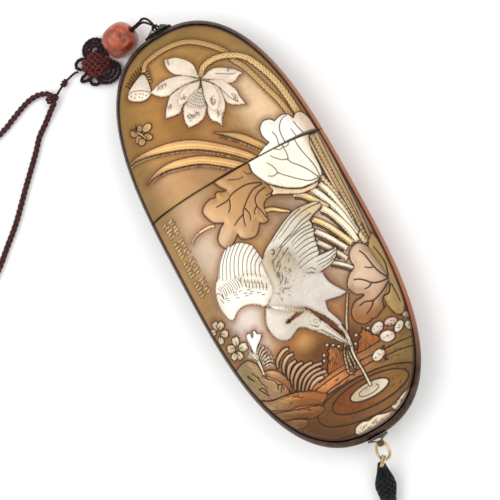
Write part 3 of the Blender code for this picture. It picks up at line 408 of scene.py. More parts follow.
def lid_picture():
    """Everything on the lid, from the back of the picture to its front."""
    blades = [
        ([2.3, 33.4, 4.2, 31.8, 6.6, 30, 9, 27.7, 13.4, 21.8, 14.8, 19],
         [0.1, 0.6, 0.95, 1.05, 1.0, 0.9, 0.8], ((4.0, 32.0), (10.0, 26.0))),
        ([-29, 39.7, -23, 39.5, -14.5, 37.4, -6, 33.9, 1, 28.8, 7.2, 22.8, 10, 19],
         [0.25, 0.4, 0.75, 1.1, 1.4, 1.5, 1.5, 1.4, 1.3, 1.2, 1.1, 1.0], ((-26.0, 39.0), (-15.0, 37.0))),
        ([-23.8, 31.2, -21, 31.7, -18, 31.9, -14.4, 31.5, -7, 29, -3, 26.7, 3.4, 21.4, 5.6, 18.8],
         [0.15, 0.7, 1.0, 1.25, 1.3, 1.3, 1.3, 1.3, 1.3, 1.3], ((-24.0, 31.0), (-11.0, 30.0))),
    ]
    figures = []
    for points, widths, fade in blades:
        figures += blade(points, widths, fade)
    figures += pod_figures()
    figures.append(dotted_stem([-8.6, 61.9, -7.9, 63.5, -6, 64.7, 1.4, 65.2, 7.7, 63.5, 12.9, 59.2,
        16.4, 54.6, 17.5, 50.8, 18.8, 48.6, 20.2, 45, 22.4, 37.2, 23.3, 34.4, 24.1, 30.8, 24.5, 27], 0.85))
    figures.append(dotted_stem([6.3, 50.8, 7.2, 52.3, 9.1, 53.7, 13.6, 54.1, 18, 52.5, 19.9, 51.2, 21.6, 49.4,
        24.7, 41.9, 26.1, 35.3, 26.7, 27], 0.98, "#e4c084", height=0.5))
    figures += lotus_figures()
    figures += butterfly_figures()
    veins = cuts([
        (0.17, 0.12, [19.4, 18.6, 19.3, 22.8, 19.7, 25, 20.8, 26.7, 22.2, 27.8, 23.3, 27.9]),
        (0.13, 0.17, [17.4, 25, 17.8, 23.3, 17.4, 21.1, 17, 18.8]),
        (0.1, 0.16, [22.6, 23.6, 23, 20.8, 23, 18.6]),
        (0.12, 0.16, [24.3, 25.4, 24.7, 23, 25.3, 20.8, 25.6, 18.6]),
    ])
    leaf = [9, 19.2, 10.6, 20.9, 15.2, 22.8, 14.5, 24.4, 14.3, 26.1, 14.7, 27.8, 16.1, 29.2, 17.4, 29.4,
        18.7, 28.9, 19.5, 27.9, 21.3, 28.6, 23, 28.6, 24.1, 27.8, 24.7, 26.4, 25.8, 27.5, 27.2, 27.5,
        28, 26.9, 28.8, 24, 29, 18, 20, 17.4, 12, 17.6]
    figures.append(figure(leaf, [SILVER, "#d2b698"], 0.55, fade=((22.5, 24.0), (28.0, 24.5)), lines=veins,
                          swell=0.3, shine=1.0))
    return figures


def leaf_figures():
    """The two big leaves at the seam and the small twigs beside them."""
    white = [5.8, 24, 6.8, 20, 6.6, 18.3, 6.6, 16.9, 8.3, 13, 9.4, 11.5, 12.4, 8.7, 16.9, 6.2, 19.1, 5.9,
        21.9, 5.9, 23, 6.5, 24.1, 7.3, 24.7, 9.6, 25.2, 17, 26.4, 20, 28, 24]
    gold = [7.6, 22, 6.6, 19.4, 6.4, 18, 6.6, 16.9, 8.3, 13.1, 10.5, 10.2, 12.4, 8.6, 16.9, 6.1, 21.9, 5.8,
        21.6, 5.1, 20.8, 4.4, 17.4, 4.4, 15.8, 4.8, 11.9, 6.6, 9.9, 7.7, 8, 8.2, 6.1, 7.9, 4.9, 6.8, 4.4, 5.4,
        4.2, 3.7, 3.8, 2.1, 2.2, 2, 1.2, 2.8, 0.1, 1.2, -1.4, 0.1, -3.3, 0.1, -5, 0.7, -6.1, 1.9, -6.2, 3.1,
        -8.6, 1.4, -10.3, 0.9, -11.8, 1.5, -12.4, 4.4, -10, 7.2, -8.3, 8.1, -10, 9, -11.2, 9.9, -12.5, 13.6,
        -11.9, 15, -10.5, 15.9, -8.6, 16.4, -6.8, 16, -6.4, 16.9, -5.3, 17.2, -4.2, 16.5, -2.9, 16.2,
        -4.4, 18.4, -5.6, 22]
    gold_veins = [
        (0.2, 0.13, [7.4, 13.1, 3.6, 14.6, 0, 14.6, -2.2, 14.2, -3.9, 13.3, -7.8, 13.2]),
        (0.17, 0.12, [-3.3, 13.1, -4.2, 11.1, -5.3, 10]),
        (0.2, 0.13, [7.4, 12.6, 4.1, 12.3, -1.1, 8.4, -2.2, 6.2, -2.8, 4]),
        (0.17, 0.12, [-1.7, 7.3, -3.9, 6.6, -5.6, 5.7]),
        (0.17, 0.12, [-0.5, 8.8, 0, 6.5, -0.6, 4.7]),
        (0.2, 0.13, [7.6, 11.2, 5.5, 10.9, 4, 10.1, 3.3, 9, 3, 7.3, 3.4, 5.7, 3.7, 3.2]),
        (0.17, 0.12, [3, 7.5, 1.9, 6.8, 1.3, 5.7]),
        (0.1, 0.1, [-0.9, 18.6, 0.8, 17.8, 2.2, 17.2, 3.6, 17.2]),
        (0.1, 0.1, [4.4, 18.6, 4.8, 17.5, 6.3, 16.9]),
        (0.12, 0.12, [9.4, 11.8, 10.2, 10.9, 10.4, 9.8, 9.1, 9, 6.9, 8.9]),
        (0.1, 0.1, [20.6, 5.2, 17, 5.2, 13.6, 6.6, 10.8, 8.6]),
    ]
    white_veins = [
        (0.17, 0.12, [23, 6.7, 21.3, 10.1, 19.7, 12.3, 18, 14.2, 17.4, 15.6, 16.1, 16.1, 14.1, 18.1,
                      13.6, 18.9]),
        (0.15, 0.11, [17.5, 15.4, 18, 16.4, 18.1, 18.9, 18.1, 20.3]),
        (0.17, 0.12, [23, 6.6, 20.2, 6.9, 18, 8.4, 14.1, 12.1, 13.1, 13.2, 11.6, 13, 10.2, 13.7]),
        (0.15, 0.11, [13.2, 13.2, 12.7, 15.6, 11.6, 17.5]),
        (0.17, 0.12, [23.4, 6.8, 23.5, 10.4, 22.2, 16.9, 22, 20.2]),
        (0.12, 0.12, [15.6, 20.2, 16.9, 19.2, 18, 19.5, 19.4, 19.3, 20.2, 20.2]),
    ]
    fold = [8.4, 12.6, 9.4, 11.2, 12.4, 8.4, 16.9, 5.9, 19.1, 5.6, 22, 5.8, 22.6, 6.2, 21.8, 4.9, 20.8, 4.4,
        17.4, 4.4, 15.8, 4.8, 11.9, 6.6, 9.9, 7.7, 8.2, 8.3, 9.4, 9.2, 9.2, 10.4]
    return [
        ribbon([-19.7, 8.1, -18.1, 9, -15.6, 9.4, -12.8, 9.3, -11.1, 8.8], [0.15, 0.4, 0.4], "#f3dfab", 0.35,
               shine=0.6, ink=0.03),
        ribbon([3.9, 5.2, 6.3, 4.6, 8.6, 2.9, 10.9, 1.3], [0.75, 0.6, 0.55, 0.3], GILT_PALE, 0.4, shine=0.4),
        figure(gold, ["#b79a7a", "#b0865a"], 0.5, fade=((-13.0, 3.0), (-1.0, 10.0)),
               lines=cuts(gold_veins), swell=0.26, shine=0.35, ink=0.12),
        figure(fold, "#f5dcb4", 0.56, swell=0.1, shine=0.5),
        figure(white, ["#f1e8d3", "#bfa084"], 0.62, fade=((23.6, 14.0), (26.4, 14.0)),
               lines=cuts(white_veins), swell=0.3, shine=1.0, ink=0.11),
    ]


def right_leaf_figures():
    """The leaf at the right edge, with its five lobes."""
    outline = [19.3, -21.9, 19.3, -19.8, 19.5, -18.4, 20.5, -16.9, 21.9, -16.1, 23.3, -15.9, 24.4, -16.5,
        25.7, -18.3, 26.6, -16.6, 28.6, -14.6, 29.2, -22, 28.6, -30, 27.6, -35.1, 26.6, -37.9, 25.4, -39.8,
        24.1, -40, 23, -39, 22.6, -37.6, 22.7, -35.7, 22.4, -34.4, 21.6, -35.9, 19.7, -36.8, 18, -37.6,
        16.6, -37.5, 15.8, -37.9, 14.1, -37.9, 12.7, -37.1, 11.9, -35.7, 12, -33.7, 13, -32.1, 14.7, -30.9,
        16.3, -30.7, 18, -30.4, 17.4, -29.8, 16.1, -29.3, 15.2, -27.9, 14.9, -25.9, 17.2, -22.9, 18.6, -22.3]
    veins = cuts([
        (0.22, 0.17, [26.2, -29.1, 23.6, -29, 21.6, -28.3, 20.2, -26.8, 18.8, -25.7, 17.4, -25.2]),
        (0.18, 0.13, [21.3, -28.4, 20.2, -29, 18.8, -29]),
        (0.22, 0.17, [26.2, -28.6, 24.9, -26.2, 24.3, -24, 23.6, -19.8, 22.9, -18.3]),
        (0.17, 0.12, [23.9, -24.3, 23, -24, 22, -23.3]),
        (0.22, 0.17, [25.9, -29.9, 23, -31.8, 19.9, -33, 18.6, -32.9, 17.2, -32.3, 15.2, -32.6]),
        (0.19, 0.14, [19.4, -33.2, 18, -34.6, 15.8, -35.7]),
        (0.2, 0.16, [26, -30.6, 24.4, -32.9, 22.4, -33.4, 21.1, -36.2, 21, -38.4]),
        (0.18, 0.13, [26.3, -31, 26.2, -33.2, 26, -36.5]),
        (0.19, 0.14, [26.6, -28.4, 27.6, -24.6, 27.4, -21.2, 27, -18.8]),
    ])
    right = [28.4, -14.6, 26.6, -16.6, 25.7, -18.3, 26.4, -29, 24.6, -31.6, 22.6, -33.6, 22.3, -35.4,
        23.2, -39, 24.1, -39.8, 25.3, -39.6, 27.6, -35.1, 28.6, -30, 29.2, -22]
    return [
        figure(outline, ["#97683f", "#c4a78c"], 0.52, fade=((14.0, -37.0), (19.0, -25.0)), swell=0.28,
               shine=0.35, ink=0.13),
        figure(right, "#aa8d5c", 0.52, swell=0.28, shine=0.35, ink=0.0, groove=0.0, edge=1.2, lines=veins),
        figure(outline, ROSE, 0.52, lines=veins, painted=False),
    ]


def stem_figures():
    """The bundle of stems that rises behind the egret's right wing."""
    bands = [
        ([29, 20, 28.4, 8, 27.8, -6, 27, -16], 0.8, "#b39a70"),
        ([28, 19.6, 27.6, 8, 27.3, -2, 26.3, -17], 0.7, "#c8ac7c"),
        ([26.9, 19.6, 26.4, 2.8, 26.4, -4.9, 26, -17], 0.75, "#c6a878"),
        ([25.6, 19.8, 25.5, 13, 25.5, -2, 25.7, -10], 0.5, "#d6ba98"),
        ([23.6, 7.4, 24.8, 0.5, 25.3, -4.9, 25.3, -12.6, 25.6, -17], 0.7, "#dcc298"),
        ([22.2, 5, 23.4, 1.6, 24.5, -5.5, 24.6, -9, 24.9, -13], 0.85, "#f4e6c8"),
        ([19.5, 4.6, 21.1, 1.2, 23.2, -4.9, 24.3, -13.5], 0.95, "#f4e8d0"),
        ([14, 5.6, 16.4, 3.9, 19.7, -0.7, 20.8, -2.8], 0.95, "#eed49a"),
        ([19.2, -2, 21, -4.6, 23.1, -11.1, 23.6, -15.5], 1.0, "#f4e2c0"),
        ([15.4, -3.8, 17, -5.6, 18.9, -8.4, 22.2, -15.4], 0.9, "#e8cc94"),
        ([14.3, -7.2, 16.9, -10.6, 18.8, -13.8, 20.2, -16.2], 0.85, "#f2e0c4"),
        ([13.4, -10.4, 15.6, -13.4, 17.3, -16.2, 18.8, -19], 0.8, "#ecd8b4"),
        ([13.8, -17.4, 16.6, -19.6, 19.2, -22.3], 0.7, "#eee0c4"),
    ]
    figures = []
    for i, (points, width, metal) in enumerate(bands):
        outline, middle, _ = band(points, [width], step=0.6)
        lines = [(side_line(middle, -0.5 * width)[1:-1], 0.0, 0.05)]
        if i in (2, 4):
            lines = [dot(x, y, 0.12) for x, y in side_line(middle, 0.45 * width)[1::2]]
            lines += [dot(x, y, 0.12) for x, y in side_line(middle, -0.45 * width)[2::2]]
        if i > 6:
            # a narrow dark stem shows beside each of the lower ones
            figures.append(ribbon(side_line(middle, -width - 0.4)[1:-1:3], [0.2], "#8a7458", 0.3, edge=0.2,
                swell=0.0, shine=0.3, halo=0.4))
        figures.append(figure(outline, metal, 0.4, lines=lines, ink=0.13, shine=0.6, halo=0.35))
    return figures


def left_wing_figures():
    """The spread left wing: long flight feathers, short coverts, and a smooth arm with chisel marks."""
    arm = [-3.2, -6.6, -3.7, -2.9, -4.3, -1.4, -6.8, 0.7, -8.6, 1.1, -12.3, 0.8, -15.6, -1.9, -18.1, -5.3,
        -19.3, -6.1, -20.9, -8.9, -21.6, -12.7, -21, -16.9, -20, -18.1, -19.1, -17.7, -18, -16.9,
        -16.1, -16.3, -14.2, -16.4, -12.2, -17.1, -10.6, -18.2, -9.2, -19.5, -7.4, -19.2, -3.4, -17.6,
        -2.4, -14.2, -2.2, -10]
    root_line = curve_through([-17.6, -5.5, -16.8, -6.7, -12.6, -7.8, -10.8, -8.6, -6, -11.4], step=0.2)
    tip_line = curve_through([-12.6, 0.6, -10.4, 1, -8, 1, -6.2, 0.6, -4.9, -0.2, -4.1, -1.2, -3.7, -2.4,
        -3.6, -4.2, -3.2, -7.2], step=0.2)
    gaps = []
    for i, (root, tip) in enumerate(zip(spaced(root_line, 11), spaced(tip_line, 11))):
        way = tip - root
        side = np.array([-way[1], way[0]]) * (0.055 + 0.009 * i)
        gaps.append(stroke([root, root + 0.25 * way + 0.7 * side, root + 0.6 * way + side, tip], 0.06, 0.12))
    coverts = []
    for i in range(10):
        x = -19.2 + 0.74 * i
        bend = 0.12 * sin(2.3 * i)
        coverts.append(stroke([(x - 0.2, -7.6 + bend), (x + 0.25, -9.2), (x + 0.1 + bend, -11.1 - bend)],
            0.06, 0.09))
    coverts += strokes([[-21, -9, -19.9, -9, -19.4, -10.2, -19.3, -11.4], [-20.3, -10.8, -19.9, -12.4]], 0.1)
    for i in range(7):
        x = -11.0 + 0.85 * i
        y = -10.6 - 0.62 * i
        coverts.append(stroke([(x - 0.5, y - 1.3), (x, y - 0.4), (x + 0.35, y + 0.5)], 0.07, 0.1))
        coverts.append(stroke([(x - 1.1, y + 1.0), (x - 0.5, y + 1.8)], 0.06, 0.08))
    marks = [(-18.4, -11.7), (-18.0, -12.5), (-15.2, -12.2), (-15.2, -13.2), (-15.2, -11.5), (-13.5, -11.9),
             (-12.4, -13.3), (-12.5, -14.1), (-11.0, -12.9), (-11.1, -14.2), (-10.3, -13.8), (-8.8, -15.1),
             (-7.8, -16.3)]
    for x, y in marks:
        coverts.append(stroke([(x - 0.5, y + 0.15), (x + 0.5, y - 0.16)], 0.11, 0.06, 0.3))
    tint = [-12, -8.6, -9.8, -8.4, -5.4, -11.6, -4.2, -13.6, -5.6, -15, -8.4, -13.4, -11, -11.8]
    return [
        figure(arm, "#e9e0d1", 0.45, swell=0.2, shine=1.0, ink=0.05),
        figure(tint, "#d9cdb8", 0.46, edge=1.0, ink=0.0, groove=0.0, swell=0.0, shine=0.9),
        figure(arm, SILVER, 0.45, lines=gaps + coverts, painted=False),
    ]


def right_wing_figures():
    """The raised right wing and the tail: long feathers that run from the back to upper right."""
    wing = [-3, -7, -1, -5, 1.6, -3.6, 6.1, -1.2, 10.5, 0.7, 13, 1.2, 17.8, 0.8, 19.5, -0.1, 19.5, -1.3,
        18.4, -2, 16.3, -2.7, 14.6, -3.7, 14.6, -5, 14.2, -5.9, 14.5, -6.5, 14.1, -7.4, 13.6, -8, 13.7, -8.8,
        13.1, -9.4, 13.3, -10.3, 12.9, -11, 13, -11.8, 12.6, -12.4, 12.8, -13.2, 12, -13.9, 13.6, -14.1,
        17.5, -14.1, 17.5, -14.8, 16.9, -15.6, 16.5, -16.4, 13.9, -18, 10.8, -18.5, 5, -19.5, -3, -17,
        -3.4, -9.5]
    quills = [
        [2, -4.2, 7.5, -1.4, 10, -0.3, 13.6, 0.6],
        [4, -4.3, 7, -3, 10, -1.5, 13, -0.6, 16, -0.2, 19.5, -0.4],
        [3.2, -6.8, 5, -5.6, 8.8, -4.2, 12, -2.8, 15.7, -2],
        [0.3, -8, 3, -6.5, 5.5, -5.6, 9, -4.8, 12, -3.9, 15, -3.5],
        [-0.8, -9.5, 2, -8, 4, -6.8, 10.5, -5, 14, -4.9],
        [0.5, -10, 3, -9, 5.2, -7.9],
        [6.5, -7.3, 9, -6.3, 11.5, -5.9, 14.2, -6],
        [6.5, -8, 9, -7.3, 11.5, -6.9, 14, -7.1],
        [6.6, -9.2, 9, -8.6, 11, -8.3, 13.6, -8.5],
        [6.2, -10.6, 9, -9.9, 12, -9.7, 13.4, -10],
        [6.4, -12, 9.5, -11.4, 11.5, -11.2, 13, -11.5],
        [5.7, -13.5, 8, -12.8, 10.5, -12.6, 12.8, -12.9],
        [4.6, -15, 8, -14.3, 10, -14, 16.8, -14.5],
        [10.4, -15.6, 14, -15.5, 17.2, -15],
        [10.4, -16.6, 14, -16.6, 16.6, -15.9],
        [11, -17.6, 13.4, -17.4, 15.2, -16.9],
        [6.6, -16.1, 8.4, -16.3, 9.1, -17.4],
        [6.2, -17.2, 7.8, -17.5, 8.5, -18.6],
        [5.9, -18.6, 7.4, -19, 8.1, -20],
    ]
    return [figure(wing, ["#d3cab9", "#c9b28c"], 0.42, fade=((10.0, -5.0), (17.0, -2.6)),
                   lines=strokes(quills, 0.05, 0.15), shine=0.9)]


def egret_body_figures():
    """The egret's shoulder, back and breast, and its bent neck with the long plumes that fall over it."""
    body = [-3.4, -7.2, -1.6, -6.3, 0.6, -5.9, 2.8, -6.6, 4.6, -8.4, 5.4, -10.6, 5.6, -15.6, 7, -17.6,
        10.7, -18.8, 11.1, -22, 12.8, -25.2, 14.6, -27.5, 10.8, -27.5, 7.4, -26.7, 6.9, -29.5, 8.2, -32.9,
        8.3, -34.3, 7.8, -36, 7.9, -38, 7.4, -37, 7, -35.6, 6.7, -33.8, 5, -30.2, 3.9, -28.7, 1.1, -25.4,
        -2.4, -24.2, -5.6, -22.6, -8.8, -19.9, -7.4, -18.7, -5.4, -17.5, -4.4, -15.6, -4.2, -12]
    marks = flecks(31, -0.7, -12.4, 1.1, 4.2, 52, 1.6, 66, -0.01)
    marks += flecks(32, 3.0, -11.6, 2.4, 3.4, 56, 1.3, 40, -0.04)
    marks += flecks(33, 2.4, -17.0, 5.0, 1.6, 40, 1.1, 8, -0.04)
    marks += flecks(34, -2.6, -19.4, 2.6, 1.6, 26, 1.3, 118, -0.04)
    marks += cuts([
        (0.05, 0.11, [-1.2, -9.4, 1, -8.4, 3.2, -7]),
        (0.05, 0.11, [0.4, -10.4, 2.4, -9.4, 4.4, -8.2]),
        (0.16, 0.22, [0.6, -5.9, 1.2, -6.6, 0.7, -7.4, 0.2, -7.2]),
        (0.07, 0.07, [-8.8, -19.6, -6.2, -18, -5.1, -16.4, -4.4, -14.6, -5.8, -13.8]),
    ])
    rim = curve_through([10.7, -18.9, 10.8, -21.2, 11.6, -23.3, 14.4, -27.4, 12, -27.6, 7.4, -26.8,
        6.9, -29.4, 7.7, -31.7, 8.3, -33.8])
    marks.append((side_line(rim, -0.1), 0.14, 0.14))
    gap = [1.6, -25.4, 5.2, -30.2, 6.1, -31.8, 6.9, -33.8, 7.3, -38, 5.6, -35.4, 2.5, -28.7, 1.2, -26.6]
    neck = [-9.3, -19.7, -11.5, -24.3, -11.3, -27.9, -10.3, -29.8, -8.9, -30.9, -7.2, -31.2, -4.4, -30,
        -3.1, -29.8, -1.9, -30.4, -0.6, -31.8, 0.8, -33.2, 6.6, -40.7, 7.9, -42.6, 7.5, -40.2, 4.2, -32.1,
        1.3, -26.5, -3.6, -23.2, -6.6, -21.2]
    plume, middle, _ = band([-8.2, -20, -2.2, -24.2, 0.4, -25.8, 2, -27.6], [0.15, 0.7, 0.9, 0.75, 0.2])
    strands = [(side_line(middle, 0.5 - 0.5 * i)[2 + i:-i - 1], -0.03, 0.04) for i in range(3)]
    eye = [-5.9, -26.4, -4.9, -26.1, -3.2, -25.9, -1.4, -25.3, 0.2, -25.4, 0.6, -26.2, -1.2, -26.7,
        -3.2, -26.9, -5, -27.2, -5.9, -27.1]
    face = [dot(1.9, -30.9, 0.2), dot(0.5, -29.8, 0.14)] + cuts([
        (0.07, 0.07, [0.1, -30.5, 0.9, -31.6, 1.9, -32.4]),
        (0.04, 0.04, [1.2, -30.3, 2, -29.8, 2.8, -30.6, 3, -31.6]),
        (0.04, 0.04, [1, -31.2, 1.5, -31.9, 2.4, -31.9]),
        (0.06, 0.06, [2.4, -28.6, 3, -29.8, 3.4, -31.2]),
        (0.11, 0.1, [2.2, -33.2, 3.8, -35.6, 5.6, -38.4, 7.4, -41.6]),
        (0.05, 0.05, [3.6, -32.6, 5, -35.4, 6.2, -38, 7.2, -40.6]),
        (0.03, 0.03, [1.2, -32.6, 2.8, -34.9, 4.4, -37.2]),
    ])
    return [
        figure(gap, "#4a3424", 0.3, swell=0.0, ink=0.0, edge=0.25),
        figure(body, ["#b4a488", PLUMAGE], 0.55, fade=((0.0, -10.0), (3.0, -20.5)), lines=marks, swell=0.2,
               shine=1.0, ink=0.0, groove=0.0, edge=0.6),
        figure(neck, ["#c8beb0", "#cfc3b0"], 0.7, fade=((-7.0, -26.0), (1.0, -30.0)), swell=0.3, shine=1.0,
               ink=0.08),
        figure(eye, ["#3c2415", "#7a5433"], 0.66, fade=((-5.0, -26.6), (0.0, -26.0)), swell=0.0, ink=0.05,
               shine=0.2, edge=0.25),
        figure(plume, ["#ddd3c2", "#bfab8e"], 0.72, fade=((-6.5, -21.0), (-0.5, -25.0)), lines=strands,
               swell=0.0, shine=0.8, ink=0.0, groove=0.0, edge=0.6),
        figure(neck, SILVER, 0.7, lines=face, painted=False),
    ]


def egret_leg_figures():
    """The standing leg in the water, the raised shank and the lifted foot with its scales."""
    figures = [ribbon([14, -27.6, 10, -34.2, 8.3, -37.6, 6.4, -40, 5.4, -41.4],
                      [0.3, 0.34, 0.34, 0.4, 0.4, 0.3], "#dccba8", 0.5, ink=0.13, shine=0.6, edge=0.25,
                      swell=0.08)]
    toes = [
        [5.4, -41.2, 4.3, -43.6, 3.4, -46.4, 3.1, -48, 4.3, -49],
        [5.8, -41.8, 4.9, -44.4, 4.6, -46.8, 5, -48.3],
        [6.1, -42.2, 5.9, -44.4, 5.8, -46.4, 5.2, -47.8],
    ]
    for i, points in enumerate(toes):
        outline, middle, _ = band(points, [0.35, 0.42, 0.36, 0.3])
        knuckles = [dot(x, y, 0.14) for x, y in middle[1::2]]
        figures.append(figure(outline, "#cdb88f", 0.42 + 0.04 * i, lines=knuckles, ink=0.17,
            shine=0.4, edge=0.25, swell=0.08))
    figures.append(ribbon([5.4, -54.4, 6.7, -53.9, 8.2, -54.5], [0.15, 0.4, 0.15], CREAM, 0.45, ink=0.05,
        shine=0.9, edge=0.25))
    figures.append(ribbon([7.6, -35, 7.9, -38, 7.6, -41, 6.9, -43.6, 6.9, -50, 6.7, -54],
        [0.5, 0.6, 0.5, 0.42, 0.36, 0.36, 0.45], "#e2d4b6", 0.6, ink=0.16, shine=0.7, edge=0.25, swell=0.08))
    return figures


def water_figures():
    """The pool: broad arcs across it and rings round the standing leg."""
    arcs = [
        [-6, -46.6, -2, -45.8, 1, -45, 5.4, -44.7, 16, -43.9],
        [-8, -47.9, -2, -47.1, 9, -46.7, 15.5, -47, 20, -47, 26, -47.3],
        [-9, -50.6, -2, -49.4, 9, -48.5, 13, -48.7, 18, -49, 26, -50],
    ]
    pool = [-30, -46, -16, -45.6, -4, -44.6, 8, -43.4, 18, -43.2, 30, -44, 30, -74, -30, -74]
    marks = strokes(arcs, 0.16) + flecks(41, 8.0, -47.4, 18.0, 3.4, 120, 1.8, 1, -0.02)
    figures = [figure(pool, ["#c98650", "#8c7146"], 0.16, fade=((0.0, -50.0), (16.0, -54.0)), lines=marks,
                      swell=0.0, shine=0.25, ink=0.15)]
    rings = [(2.0, -57.4, 20.2, 7.0, "#66482e", "#7c6540"), (5.0, -56.3, 16.9, 5.7, "#6d4b2c", "#7a6038"),
             (5.6, -55.6, 12.2, 3.9, "#7d4828", "#8a6538")]
    for i, (x, y, rx, ry, tone, light) in enumerate(rings):
        marks = flecks(42 + i, x, y, 0.85 * rx, 0.8 * ry, 80, 1.8, 1, -0.02)
        figures.append(figure(oval(x, y, rx, ry, -1, 60), [tone, light], 0.24,
            fade=((x - 0.5 * rx, y), (x + 0.6 * rx, y)), lines=marks, swell=0.05, shine=0.3, ink=0.24))
    inner = oval(5.5, -55.1, 3.2, 1.1, 0, 30)
    figures.append(figure(oval(5.7, -55.1, 6.2, 2.05, 0, 44), ["#bda686", "#d8c8ae"], 0.36,
        fade=((0.0, -55.0), (8.0, -55.0)), lines=[(np.concatenate([inner, inner[:1]]), 0.11, 0.11)],
        shine=0.9, ink=0.26))
    return figures


def bank_figures():
    """The banks at the left, the roots at the foot and the pebbles at the right."""
    banks = [
        (["#b4986c", "#9a633a"], ((-24.0, -43.0), (-12.0, -48.0)),
         [-30, -40.4, -26.1, -41.4, -23.9, -42.8, -21.1, -44, -17.2, -44.6, -11.1, -46.3, -8.9, -47.6,
          -6.4, -49.7, -5.4, -50.3, -7.8, -51.7, -9.4, -51.5, -15, -49.3, -18.1, -48.8, -23.9, -46,
          -28, -45]),
        (["#8a7048", "#865838"], ((-24.0, -48.0), (-10.0, -53.0)),
         [-26, -46.4, -22.5, -47.6, -18.1, -49.3, -9.6, -52, -8.3, -53.2, -9, -54, -10.6, -54.3,
          -13.6, -54.2, -14.4, -53.3, -20.6, -50.6, -24, -49.4]),
        (["#84693f", "#86603a"], ((-22.0, -51.0), (-15.0, -55.0)),
         [-23.4, -50.4, -20, -51.4, -17, -52.6, -14.6, -53.8, -15, -54.7, -16.1, -55.3, -18.1, -55,
          -20.6, -54.4]),
    ]
    figures = []
    for metal, fade, points in banks:
        middle_x, middle_y = np.reshape(points, (-1, 2)).mean(0)
        marks = flecks(51, middle_x, middle_y, 6.0, 1.4, 30, 1.6, -22, -0.02)
        figures.append(figure(points, metal, 0.4, fade=fade, lines=marks, shine=0.2, swell=0.2))
    roots = [
        (2.8, -64.6, 5.0, [-4.4, -63.8, -3.3, -62.5, -0.8, -62, 0.8, -62.5, 3.6, -62.2, 6.2, -62.9,
                           8.4, -63.3, 9.7, -64.4, 7.2, -65.6, 3.6, -66.1, -0.3, -66.1, -3.1, -65.7]),
        (12.0, -62.6, 2.4, [8.7, -62, 9.1, -63.1, 10.2, -64, 11.9, -63.7, 14.1, -62.5, 16.4, -60.5,
                            15.8, -59.7, 13.6, -60.3, 11.1, -61.3]),
    ]
    for i, (x, y, reach, points) in enumerate(roots):
        marks = flecks(55 + i, x, y + 0.4, reach, 1.1, 30, 1.2, 18, 0.07)
        figures.append(figure(points, ["#dccbae", "#cbb591"], 0.42, fade=((x, y), (x + 6.0, y - 1.0)),
            lines=marks, ink=0.17, shine=0.8, swell=0.22))
    pebbles = [(20.8, -40.6, 1.8, 1.3, 0, ROSE), (16.6, -40.5, 2.1, 1.5, 10, "#ddcbb9"),
               (17.9, -43.9, 2.2, 1.6, 5, "#e0d0bd"), (22.2, -42.8, 1.8, 1.2, 38, "#dccdbb"),
               (24.9, -43.8, 1.3, 1.2, 60, "#cdbba6"), (25.5, -40.6, 0.9, 1.1, 0, "#cdbba6"),
               (13.1, -47.5, 2.1, 1.5, 6, "#e3d2ba")]
    for i, (x, y, rx, ry, turn, metal) in enumerate(pebbles):
        marks = [dot(x + 0.15, y + 0.2, 0.16)] + flecks(70 + i, x, y - 0.5, 0.7 * rx, 0.4 * ry, 7, 0.8,
            turn - 10, 0.03)
        lumpy = oval(x, y, rx, ry, turn, 9) + 0.1 * oval(0, 0, rx, ry, 140 * i, 9)[::-1]
        figures.append(figure(lumpy.tolist(), metal, 0.5, lines=marks, ink=0.15, shine=0.9, swell=0.3))
    for points in ([14.2, -48.6, 14.5, -49.8], [14.6, -46.6, 15.6, -46.2], [24.8, -45.2, 25.4, -46.6]):
        figures.append(ribbon(points, [0.28, 0.12], "#5a3c22", 0.3, edge=0.2, ink=0.15, step=0.8))
    return figures


